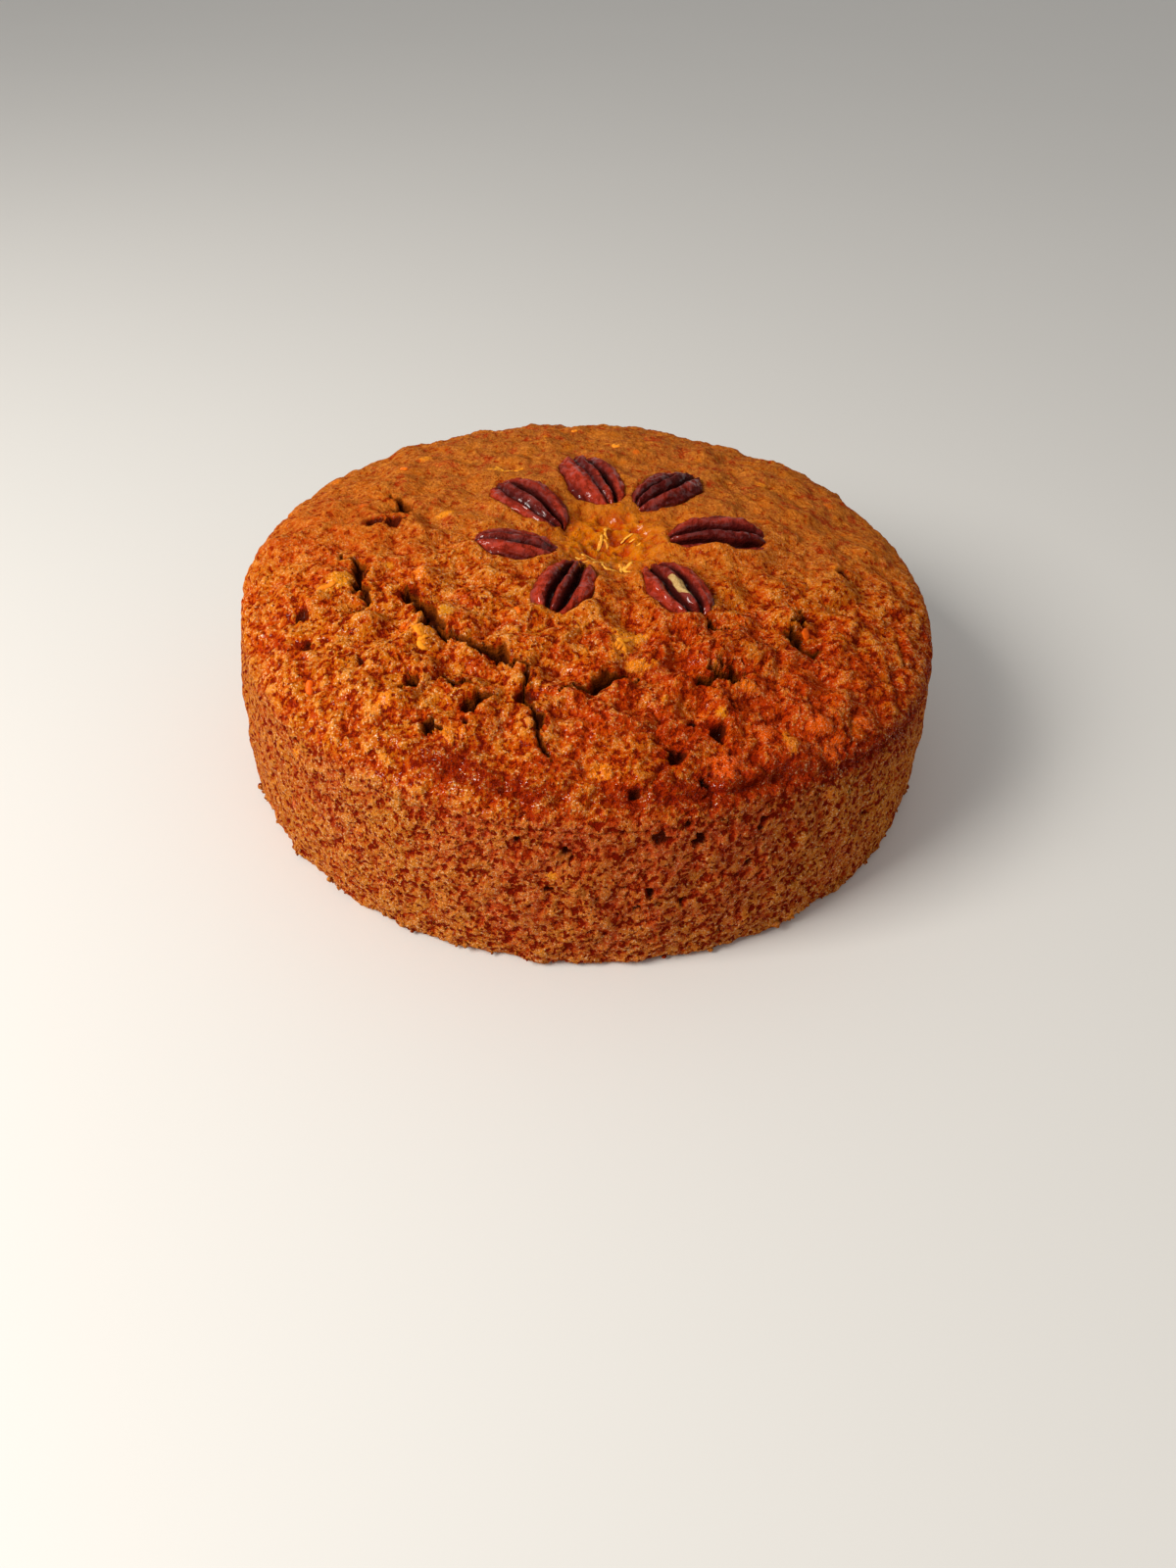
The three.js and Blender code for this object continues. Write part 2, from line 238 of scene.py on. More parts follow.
# The crease where the crown folds over the rim of the wall: place and depth.
CREASE = (
    (-80, -54, 52.0, 0.1),
    (-62.8, -70.4, 52.8, 0.15),
    (-42.2, -82.2, 54.1, 0.4),
    (-30.3, -87.3, 53.9, 0.9),
    (-13.6, -93.7, 52.2, 0.8),
    (-1.2, -95.2, 51.8, 0.5),
    (11.1, -94.5, 51.7, 0.7),
    (24.6, -91.8, 51.7, 1.2),
    (35.5, -89.3, 50.3, 2.2),
    (41.0, -86.5, 50.6, 2.4),
    (47.2, -83.3, 50.9, 1.9),
    (55.8, -80.4, 49.0, 1.0),
    (69.7, -70.3, 45.6, 0.8),
    (77.4, -62.0, 44.3, 1.3),
    (85.4, -51.2, 42.4, 1.7),
    (91.0, -40.5, 42.6, 1.7),
    (96.0, -25.0, 44.0, 1.0),
)
CREASE_WIDTH = 2.4

# Clusters of shreds that stand out: place in plan, spread, number, length, and how yellow.
SHRED_CLUSTERS = (
    ((10.0, -49.0), 3.0, 5, 6.0, 0.75),
    ((-41.0, -46.5), 3.0, 4, 5.0, 0.65),
    ((-26.0, 34.5), 3.0, 4, 6.0, 0.9),
    ((1.0, -12.0), 6.0, 7, 6.0, 1.6),
    ((11.0, -12.5), 5.0, 5, 5.0, 1.5),
    ((2.0, 8.0), 6.0, 4, 4.5, 1.4),
    ((14.0, 2.0), 5.0, 3, 4.5, 1.3),
)
SHRED_REACH = 92
SHRED_SEED = 7
PALE_TINT = 1.1

# Loose crumbs lie in a band above the floor.
CRUMB_BAND = (0.9, 3.2)
CRUMB_SEED = 11

# Masks that the finish of the crumb reads: those that loose crumbs have nothing of, and the rest.
CRUST_MASKS = ("hollow", "rip", "pit", "ruddy", "moist", "caramel", "carrot", "yellow")
CRUMB_MASKS = ("side", "crest", "craggy", "lift", "tint")

# The key light, in metres, the colours of both lights, and the half width of the floor.
KEY_PLACE = (-0.66, -0.38, 0.63)
KEY_SIZE = 0.45
KEY_COLOUR = (1.0, 0.96, 0.9)
SKY_COLOUR = (1.0, 0.985, 0.96, 1.0)
FLOOR_HALF = 5000.0


def smooth(low, high, value):
    """S-shaped step from 0 at low to 1 at high."""
    share = np.clip((value - low) / (high - low), 0, 1)
    return share * share * (3 - 2 * share)


def bell(value, width):
    """Bell-shaped hump: 1 where the value is 0, falling to 0.37 a width away."""
    return np.exp(-((value / width) ** 2))


def unit(vectors):
    """Rows of vectors, each made 1 long."""
    return vectors / np.linalg.norm(vectors, axis=1)[:, None]


def lattice_random(cells, seed):
    """A random number from 0 to 1 for each whole-number lattice point: its three numbers are mixed
    into one of 32 bits, and the bits are stirred."""
    mixed = (cells[:, 0] * 73856093) ^ (cells[:, 1] * 19349663) ^ (cells[:, 2] * 83492791)
    mixed = (mixed ^ (seed * 2654435761)) & 0xFFFFFFFF
    mixed = ((mixed ^ (mixed >> 15)) * 2246822519) & 0xFFFFFFFF
    mixed = ((mixed ^ (mixed >> 13)) * 3266489917) & 0xFFFFFFFF
    return (mixed ^ (mixed >> 16)) / 2.0**32


def grain(points, size, seed):
    """Gradient noise of about -1 to 1: every corner of a lattice has a random slope, and the
    slopes at a point are blended by a smooth step."""
    cell = points / size
    base = np.floor(cell).astype(np.int64)
    part = cell - base
    fade = part**3 * (part * (6 * part - 15) + 10)
    total = np.zeros(len(points))
    for corner in np.ndindex(2, 2, 2):
        spot = base + np.array(corner)
        offset = part - np.array(corner)
        turn = 2 * np.pi * lattice_random(spot, seed)
        lift = 2 * lattice_random(spot, seed + 101) - 1
        flat = np.sqrt(1 - lift**2)
        slope = flat * (np.cos(turn) * offset[:, 0] + np.sin(turn) * offset[:, 1]) + lift * offset[:, 2]
        total += slope * np.prod(np.where(corner, fade, 1 - fade), axis=1)
    return 1.6 * total


def rugged(points, size, seed, octaves):
    """Sum of octaves of the gradient noise, each half the size and 0.55 of the height."""
    return sum(0.55**k * grain(points, size / 2**k, seed + 13 * k) for k in range(octaves))


def sway(points, size, seeds, octaves=1):
    """Noise as vectors, one number for each seed, that moves points about to make outlines ragged."""
    return np.stack([rugged(points, size, seed, octaves) for seed in seeds], axis=1)


def clumps(points, size, seed):
    """Cellular noise: distance to the nearest and to the second nearest of one random point in
    each lattice cell, in cells, and a random number that the nearest point has."""
    cell = points / size
    base = np.floor(cell).astype(np.int64)
    near = np.full(len(points), 9.0)
    second = np.full(len(points), 9.0)
    tag = np.zeros(len(points))
    for step in np.ndindex(3, 3, 3):
        spot = base + np.array(step) - 1
        centre = spot + np.stack([lattice_random(spot, seed + k) for k in range(3)], axis=1)
        distance = np.linalg.norm(cell - centre, axis=1)
        closer = distance < near
        second = np.where(closer, near, np.minimum(second, distance))
        tag = np.where(closer, lattice_random(spot, seed + 7), tag)
        near = np.minimum(near, distance)
    return near, second, tag


def lumps(x, y, z, length):
    """Sum of eight plane waves, a golden angle apart in heading."""
    total = 0
    for k in range(8):
        heading = k * GOLDEN_ANGLE
        along = x * math.cos(heading) + y * math.sin(heading) + z * math.sin(3 * heading)
        total = total + np.sin(2 * np.pi * along * (1 + 0.09 * k) / length + 1.7 * k)
    return total / 3


def seam_height(angle):
    """Height of the seam round the cake: a circle, tilted a little."""
    return SEAM_HEIGHT + SEAM_TILT * np.cos(angle - SEAM_HIGH_SIDE)


def wall_radius(share):
    """Radius of the wall at a share of the way up to the seam: a taper and a slight belly."""
    return WALL_RADIUS - WALL_TAPER * share + 4 * WALL_BULGE * share * (1 - share)


def fullness(angle):
    """Exponent of the dome's profile on one side: the greater, the squarer its shoulder."""
    shoulder = np.exp(SHOULDER_SHARPNESS * (np.cos(angle - SHOULDER_SIDE) - 1))
    return DOME_FULLNESS + SIDE_FULLNESS * np.cos(angle - DOME_HIGH_SIDE) + SHOULDER_FULLNESS * shoulder


def dome_height(x, y):
    """Height of the smooth dome: seam plus a superellipse rise that leans, less the dip."""
    share = np.minimum(1, np.hypot(x, y) / DOME_RADIUS)
    angle = np.arctan2(y, x)
    uneven = (seam_height(angle) - SEAM_HEIGHT) * share**2
    lean = 1 + DOME_LEAN * share * np.cos(angle - DOME_HIGH_SIDE)
    rise = DOME_RISE * lean * np.sqrt(1 - share ** fullness(angle))
    from_ring = np.hypot(x - RING_CENTRE[0], y - RING_CENTRE[1])
    return SEAM_HEIGHT + uneven + rise - DIP_DEPTH * bell(from_ring, DIP_RADIUS)


def dome_lumps(x, y):
    """Swells everywhere and crags round the front, fading towards the seam."""
    share = np.minimum(1, np.hypot(x, y) / DOME_RADIUS)
    front = bell(y - CRAG_FRONT, CRAG_SPREAD)
    crags = CRAG_HEIGHT * (0.35 + 0.65 * front) * lumps(x, y, 0, CRAG_LENGTH)
    return (1 - share**6) * (SWELL_HEIGHT * lumps(x, y, 0, SWELL_LENGTH) + crags)


def ring_profile():
    """Share of the way along the dome's profile from its middle to the seam, and the share of the
    dome's radius there: the lengths of short steps are added up."""
    share = np.sin(np.linspace(0, np.pi / 2, 2001))
    rise = DOME_RISE * np.sqrt(1 - share**DOME_FULLNESS)
    length = np.hypot(np.diff(DOME_RADIUS * share), np.diff(rise))
    way = np.concatenate([[0], np.cumsum(length)])
    return way / way[-1], share


RING_WAY, RING_SHARE = ring_profile()


def disc_grid(count):
    """A square grid folded onto a disc: the ring of a point is the greater of its two distances
    from the middle, and its angle runs evenly along each side of its square."""
    line = np.linspace(-1, 1, count + 1)
    u, v = np.meshgrid(line, line)
    wide = np.abs(u) >= np.abs(v)
    ring = np.maximum(np.abs(u), np.abs(v))
    safe = np.where(ring > 0, 1, 0)
    flat = np.where(wide, v / np.where(u == 0, 1, u), u / np.where(v == 0, 1, v)) * np.pi / 4
    angle = np.where(wide, flat + np.where(u < 0, np.pi, 0), np.pi / 2 - flat + np.where(v < 0, np.pi, 0))
    return ring, angle * safe


def disc_place(x, y, count):
    """Row and column of the folded grid at a point of the plan: the inverse of disc_grid."""
    share = np.minimum(1, np.hypot(x, y) / DOME_RADIUS)
    ring = np.interp(share, RING_SHARE, RING_WAY)
    angle = np.arctan2(y, x)
    quarter = np.round(angle / (np.pi / 2))
    slant = ring * (angle - quarter * np.pi / 2) / (np.pi / 4)
    quarter = quarter.astype(int) % 4
    u = np.select([quarter == 0, quarter == 1, quarter == 2], [ring, -slant, -ring], slant)
    v = np.select([quarter == 0, quarter == 1, quarter == 2], [slant, ring, -slant], -ring)
    return (v + 1) * count / 2, (u + 1) * count / 2


def gape(share, seed):
    """How open a crack is along its way: most in the middle, with ragged sides."""
    wave = np.sin(np.pi * np.clip(share, 0, 1)) ** 0.6 * (0.8 + 0.3 * np.sin(9 * share + seed))
    return np.maximum(0.2, wave)


def path_distance(plan, path):
    """For each point: distance to a path in plan or in space, share of the way there, and +1 on
    the path's left or -1."""
    best = np.full(len(plan), 1e9)
    where = np.zeros(len(plan))
    side = np.ones(len(plan))
    steps = len(path) - 1
    for k in range(steps):
        way = path[k + 1] - path[k]
        offset = plan - path[k]
        along = np.clip(offset @ way / (way @ way), 0, 1)
        distance = np.linalg.norm(offset - along[:, None] * way, axis=1)
        closer = distance < best
        best = np.where(closer, distance, best)
        where = np.where(closer, (k + along) / steps, where)
        side = np.where(closer, np.sign(way[0] * offset[:, 1] - way[1] * offset[:, 0]), side)
    return best, where, side


def pecan_place(index):
    """Centre, turning matrix and heading of a pecan: on the ring, pointing outwards, pitched with the
    dome under its two ends and leaned to one side."""
    turn, reach, twist, lean, size = PECANS[index][:5]
    angle = RING_START + 2 * np.pi * index / len(PECANS) + math.radians(turn)
    heading = angle + math.radians(twist)
    x = RING_CENTRE[0] + (RING_RADIUS + reach) * math.cos(angle)
    y = RING_CENTRE[1] + (RING_RADIUS + reach) * math.sin(angle)
    half = 0.35 * PECAN_LENGTH * size
    outer = dome_height(x + half * math.cos(heading), y + half * math.sin(heading))
    inner = dome_height(x - half * math.cos(heading), y - half * math.sin(heading))
    centre = np.array([x, y, 0.5 * (outer + inner) - PECAN_SINK * size])
    pitch = -math.atan2(outer - inner, 2 * half)
    turned = Matrix.Rotation(heading, 3, "Z") @ Matrix.Rotation(pitch, 3, "Y")
    turned = turned @ Matrix.Rotation(math.radians(lean), 3, "X")
    return centre, np.array(turned), heading


def pecan_bed(plan):
    """What the dough does round the pecans: it is pressed down under each and hugs its outline,
    higher on the front. Gives the height and how near a nut is."""
    height = np.zeros(len(plan))
    near = np.zeros(len(plan))
    for index, pecan in enumerate(PECANS):
        size, bank = pecan[4:6]
        centre, _, heading = pecan_place(index)
        c, s = math.cos(heading), math.sin(heading)
        offset = plan - centre[:2]
        east, north = offset.T
        along = (east * c + north * s) / (0.5 * PECAN_LENGTH * size)
        across = (north * c - east * s) / (0.5 * PECAN_WIDTH * size) / (1 + PECAN_TIP * along)
        power = PECAN_SQUARENESS
        reach = (np.abs(along) ** power + np.abs(across) ** power) ** (1 / power)
        front = np.clip(-north / (np.linalg.norm(offset, axis=1) + 1e-6), 0, 1)
        hug = bell(reach - BED_EDGE, np.where(reach > BED_EDGE, 0.3, 0.14))
        height += (0.55 + bank * front) * hug - BED_DEPTH * smooth(0.98, 0.7, reach)
        near = np.maximum(near, smooth(1.5, 1.0, reach))
    return height, near


def crown_relief(points):
    """Height of the crown's relief along its normal, and the masks that its finish reads: mounds
    and clumps from cellular noise, strong round the front, the dip's folds, the beds of the nuts
    and the rips."""
    x, y = points[:, 0], points[:, 1]
    plan = points[:, :2]
    from_ring = np.hypot(x - RING_CENTRE[0], y - RING_CENTRE[1])
    drift = 14 * rugged(points, 40, 71, 2)
    front = smooth(16, -54, y - 0.14 * np.abs(x) + drift)
    craggy = np.clip(0.12 + 0.88 * front + 0.12 * smooth(-25, -80, x + drift), 0, 1)
    bed, nut = pecan_bed(plan)
    calm = 1 - 0.7 * nut
    dip = bell(from_ring, DIP_RADIUS)

    warp = sway(points, 13, (3, 5, 8), 2)
    mound, mound_next, mound_tag = clumps(points + 4.5 * warp, MOUND_SIZE, 21)
    clump, clump_next, _ = clumps(points + 2.2 * warp, CLUMP_SIZE, 34)
    mound_crease = bell(mound_next - mound, 0.13)
    clump_crease = bell(clump_next - clump, 0.16)
    height = craggy * calm * (2.0 * (0.5 - mound) - 0.9 * mound_crease + 0.6 * (mound_tag - 0.5))
    lift = calm * (0.3 + 0.7 * craggy) * (0.4 * (0.45 - clump) - 0.25 * clump_crease)
    height += lift
    height += calm * (1 - craggy) * (0.9 * rugged(points, 7.5, 95, 4) + 0.9 * rugged(points, 19, 97, 2))
    folds = 2.4 * np.abs(rugged(points, 9, 144, 2)) + 2.6 * np.abs(rugged(points, 4.4, 151, 2))
    folds += 0.9 * np.abs(grain(points, 2.4, 157))
    height += dip * (1.4 - folds)
    height += bed
    for east, north, spread, rise in SWELLS:
        height += rise * np.exp(-(((x - east) ** 2 + (y - north) ** 2) / spread**2))

    ragged = sway(points, 4.2, (377, 379)) + 0.9 * sway(points, 1.9, (382, 384))
    torn = np.clip(1.1 + 1.1 * grain(points, 6.5, 383), 0.55, 1.9)
    open_rip = np.zeros(len(points))
    for index, (way, width, depth, bank) in enumerate(RIPS):
        distance, where, side = path_distance(plan + (0.5 + 0.25 * width) * ragged, np.array(way, float))
        opening = gape(where, index) * torn
        edge = 0.5 * width * opening * np.where(side > 0, 1 + 0.3 * bank, 1.0)
        inside = smooth(1.05, 0.5, distance / np.maximum(edge, 0.3))
        height += bank * np.where(side > 0, 0.6, -0.4) * np.exp(-distance / 8) * gape(where, index)
        height -= depth * np.sqrt(opening) * inside
        open_rip = np.maximum(open_rip, inside)

    # Painted shade in the creases between mounds and clumps and in the dip's folds, with a redder tone.
    hollow = (0.55 * mound_crease + 0.4 * clump_crease) * craggy * calm + dip * smooth(1.0, 2.8, folds)
    masks = {
        "hollow": np.clip(hollow, 0, 1),
        "rip": open_rip,
        "crest": np.clip(1.2 * (0.55 - clump) + 0.9 * (0.45 - mound) * craggy, 0, 1),
        "craggy": craggy,
        "moist": np.clip(1.25 * dip, 0, 1),
        "ruddy": (0.5 + 0.5 * craggy) * ruddiness(points, 48, 70),
        "lift": lift,
        "side": np.zeros(len(points)),
        "tint": mound_tag,
    }
    return height, masks


def ruddiness(points, middle, spread):
    """How red the crust is baked: most at the front rim, a way to the right, fading all round, with
    a weaker patch at the left."""
    x, y = points[:, 0], points[:, 1]
    front = np.exp(-(((x - middle) / spread) ** 2) - ((y + 72) / 62) ** 2)
    return front + 0.55 * np.exp(-(((x + 72) / 28) ** 2) - ((y + 8) / 40) ** 2)


def side_relief(points):
    """Height of the wall's relief along its normal, and the masks that its finish reads: shallow
    clumps and, towards the foot, a ragged edge."""
    warp = sway(points, 9, (4, 6, 9), 2)
    clump, clump_next, clump_tag = clumps(points + 2.0 * warp, SIDE_CLUMP_SIZE, 35)
    clump_crease = bell(clump_next - clump, 0.16)
    low = smooth(5, 0.5, points[:, 2])
    height = 0.25 * (0.45 - clump) - 0.12 * clump_crease
    height += low * (0.2 + 0.5 * rugged(points, 2.6, 411, 2))
    none = np.zeros(len(points))
    masks = {
        # Painted shade in the creases between the wall's clumps.
        "hollow": 0.3 * clump_crease,
        "rip": none,
        "crest": np.clip(1.2 * (0.5 - clump), 0, 1),
        "craggy": 0.6 + 0.4 * smooth(20, 95, -points[:, 1]),
        "moist": none,
        "ruddy": ruddiness(points, 12, 50) * smooth(-30, 40, points[:, 2]),
        "lift": height,
        "side": none + 1,
        "tint": clump_tag,
    }
    return height, masks


def crumb_relief(points, coarse):
    """The open crumb: a flat sponge with ragged pits of a millimetre or two where the noise is low,
    round pores and scattered holes. Gives the height, how deep in a pore a point is, and how deep
    in a hole."""
    warp = sway(points, 3.0, (14, 16, 19))
    sponge = rugged(points + 0.6 * warp, 2.0, 55, 2)
    sink = smooth(0.0, -0.5, sponge)
    height = coarse * (0.12 * sponge - 0.4 * sink)
    height += (0.35 + 0.65 * coarse) * 0.18 * rugged(points, 3.4, 89, 3)
    pore, _, pore_tag = clumps(points + 0.9 * warp, PORE_SPACING, 233)
    size = 0.1 + 0.2 * (pore_tag * 7.3 % 1)
    pores = (pore_tag < 0.12 + 0.38 * coarse) * smooth(1.0, 0.4, pore / size)
    height -= 1.1 * pores
    deep = np.zeros(len(points))
    ragged = 1.1 * warp + sway(points, 1.6, (24, 26, 29))
    for x, y, z, radius, depth in HOLES:
        distance = np.linalg.norm(points - (x, y, z) + ragged, axis=1)
        inside = smooth(0.95, 0.4, distance / radius)
        height -= depth * inside
        deep = np.maximum(deep, inside)
    return height, np.clip(pores + 0.5 * sink * coarse, 0, 1), deep


def carrot_bits(points):
    """Where carrot shows in the crust and how yellow it is: uneven ellipses in plan."""
    ragged = 0.3 * grain(points, 2.4, 821) + 0.2 * grain(points, 1.2, 822)
    shown = np.zeros(len(points))
    tint = np.zeros(len(points))
    for x, y, long, short, heading, yellow in CARROT_BITS:
        c, s = math.cos(math.radians(heading)), math.sin(math.radians(heading))
        across, up = points[:, 0] - x, points[:, 1] - y
        reach = np.hypot((across * c + up * s) / long, (up * c - across * s) / short)
        inside = smooth(1.15, 0.8, reach + ragged) * (points[:, 2] > CARROT_LOWEST)
        tint = np.where(inside > shown, yellow, tint)
        shown = np.maximum(shown, inside)
    spot, _, spot_tag = clumps(points, FLECK_SPACING, 640)
    stray = (spot_tag < 0.3) * smooth(1.15, 0.8, spot / (0.1 + 0.09 * (spot_tag * 11.3 % 1)) + ragged)
    tint = np.where(stray > shown, spot_tag * 23.7 % 1, tint)
    return np.maximum(shown, 0.75 * stray), tint


def crease_relief(points):
    """The crease under the crown's rim: a ragged groove along its way with a swollen lip above.
    Gives the height, how deep in the groove a point is, and how near the caramelised band."""
    way = np.array(CREASE, float)
    wobble = sway(points, 6, (733, 743, 753)) + 0.5 * sway(points, 2.6, (736, 746, 756))
    distance, where, _ = path_distance(points + 0.9 * wobble, way[:, :3])
    depth = np.interp(where, np.linspace(0, 1, len(way)), way[:, 3])
    level = np.interp(where, np.linspace(0, 1, len(way)), way[:, 2])
    groove = smooth(1.0, 0.15, distance / CREASE_WIDTH)
    lip = bell(distance - 3.4, 2.6) * (points[:, 2] > level)
    broken = np.clip(0.9 + 0.8 * rugged(points, 12, 610, 3), 0, 1.4)
    band = (0.75 * bell(distance, 3.6) + 0.6 * bell(distance, 9.0) * broken) * smooth(0.1, 1.0, depth)
    band *= 0.3 + 0.7 * smooth(-4, 1, points[:, 2] - level)
    return depth * (0.35 * lip - groove), groove * np.minimum(1, depth), np.clip(band, 0, 1)


def add_mesh(name, points, faces, masks=None):
    """A mesh object at the origin from an array of points in millimetres and lists of faces, with
    a float attribute on the points for each mask."""
    mesh = bpy.data.meshes.new(name)
    mesh.from_pydata((points * MM).tolist(), [], faces)
    for mask, values in (masks or {}).items():
        mesh.attributes.new(mask, "FLOAT", "POINT").data.foreach_set("value", values.astype(np.float32))
    mesh.shade_smooth()
    mesh.validate()
    piece = bpy.data.objects.new(name, mesh)
    bpy.context.scene.collection.objects.link(piece)
    return piece


def grid_faces(rows, columns, closed):
    """Quads of a grid of points in rows; a closed grid joins its last column to its first."""
    across = columns if closed else columns - 1
    row, column = np.meshgrid(np.arange(rows - 1), np.arange(across), indexing="ij")
    after = (column + 1) % columns
    low, high = row * columns, (row + 1) * columns
    corners = [low + column, low + after, high + after, high + column]
    return np.stack([corner.ravel() for corner in corners], axis=1)


def fan_faces(loop, centre):
    """Triangles from a closed loop of points to one in the middle."""
    return np.stack([loop, np.roll(loop, -1), np.full(len(loop), centre)], axis=1)


def repeat_faces(faces, starts):
    """Lists of one shape's faces for each of its copies, whose points begin at the starts."""
    return (faces[None] + starts[:, None, None]).reshape(-1, faces.shape[1]).tolist()


def finish_piece(piece, material, nodes=()):
    """Gives a piece its finish and its body, and hides the nodes that it stands for."""
    piece.data.materials.append(material)
    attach(piece, BODY)
    if nodes:
        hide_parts(*nodes)


class Socket:
    """An output socket of a material's nodes: arithmetic on it adds Math nodes."""

    def __init__(self, tree, socket=None):
        self.tree = tree
        self.socket = socket

    def node(self, kind, settings=None, inputs=None, output=0):
        """Add a node of a kind: its settings first, a ramp's stops among them, then the values or
        links of its sockets. Gives one of its outputs."""
        node = self.tree.nodes.new(kind)
        for name, value in (settings or {}).items():
            if name == "stops":
                ramp = node.color_ramp
                for place, colour in value[2:]:
                    ramp.elements.new(place).color = colour
                for element, (place, colour) in zip((ramp.elements[0], ramp.elements[-1]), value[:2]):
                    element.position = place
                    element.color = colour
            else:
                setattr(node, name, value)
        for key, value in (inputs or {}).items():
            if isinstance(value, Socket):
                self.tree.links.new(value.socket, node.inputs[key])
            else:
                node.inputs[key].default_value = value
        return Socket(self.tree, node.outputs[output]) if node.outputs else node

    def math(self, operation, *values, clamp=False):
        """A Math node on sockets and numbers."""
        settings = {"operation": operation, "use_clamp": clamp}
        return self.node("ShaderNodeMath", settings, dict(enumerate(values)))

    def __add__(self, other):
        return self.math("ADD", self, other)

    __radd__ = __add__

    def __sub__(self, other):
        return self.math("SUBTRACT", self, other)

    def __rsub__(self, other):
        return self.math("SUBTRACT", other, self)

    def __mul__(self, other):
        return self.math("MULTIPLY", self, other)

    __rmul__ = __mul__

    def clamped(self):
        """The value held between 0 and 1."""
        return self.math("ADD", self, 0, clamp=True)

    def step(self, low, high):
        """S-shaped step from 0 at low to 1 at high."""
        settings = {"interpolation_type": "SMOOTHSTEP"}
        inputs = {0: self, 1: low, 2: high, 3: 0.0, 4: 1.0}
        return self.node("ShaderNodeMapRange", settings, inputs)

    def blend(self, under, over):
        """A colour that goes from under to over as this value, held between 0 and 1, rises; each is
        a socket or a colour property."""
        settings = {"data_type": "RGBA", "clamp_factor": True}
        inputs = {0: self}
        for key, colour in ((6, under), (7, over)):
            inputs[key] = colour if isinstance(colour, Socket) else (*colour, 1.0)
        return self.node("ShaderNodeMix", settings, inputs, output=2)

    def noise(self, size, detail=3.0, roughness=0.55):
        """Noise from 0 to 1 at this place, with features of a size in millimetres."""
        inputs = {"Vector": self, "Scale": 1 / (size * MM), "Detail": detail, "Roughness": roughness}
        return self.node("ShaderNodeTexNoise", None, inputs)

    def cells(self, size):
        """Distance to the nearest of scattered points a size in millimetres apart."""
        inputs = {"Vector": self, "Scale": 1 / (size * MM)}
        return self.node("ShaderNodeTexVoronoi", {"feature": "F1"}, inputs)

    def bump(self, depth, strength):
        """A normal that shows this value as relief of a depth in millimetres."""
        inputs = {"Strength": strength, "Distance": depth * MM, "Height": self}
        return self.node("ShaderNodeBump", None, inputs)


def new_material(name):
    """An empty node material: its tree as a socket with no output, and the place on the piece."""
    material = bpy.data.materials.new(name)
    material.use_nodes = True
    tree = material.node_tree
    tree.nodes.clear()
    start = Socket(tree)
    place = start.node("ShaderNodeTexCoord", output=3)
    return material, start, place


def close_material(material, start, **inputs):
    """Ends a material in one Principled shader with the given inputs."""
    inputs = {key.replace("_", " "): value for key, value in inputs.items()}
    shader = start.node("ShaderNodeBsdfPrincipled", None, inputs)
    start.node("ShaderNodeOutputMaterial", None, {"Surface": shader})
    return material


def attribute(start, name):
    """A mask of the piece, by its name."""
    return start.node("ShaderNodeAttribute", {"attribute_name": name}, output=2)


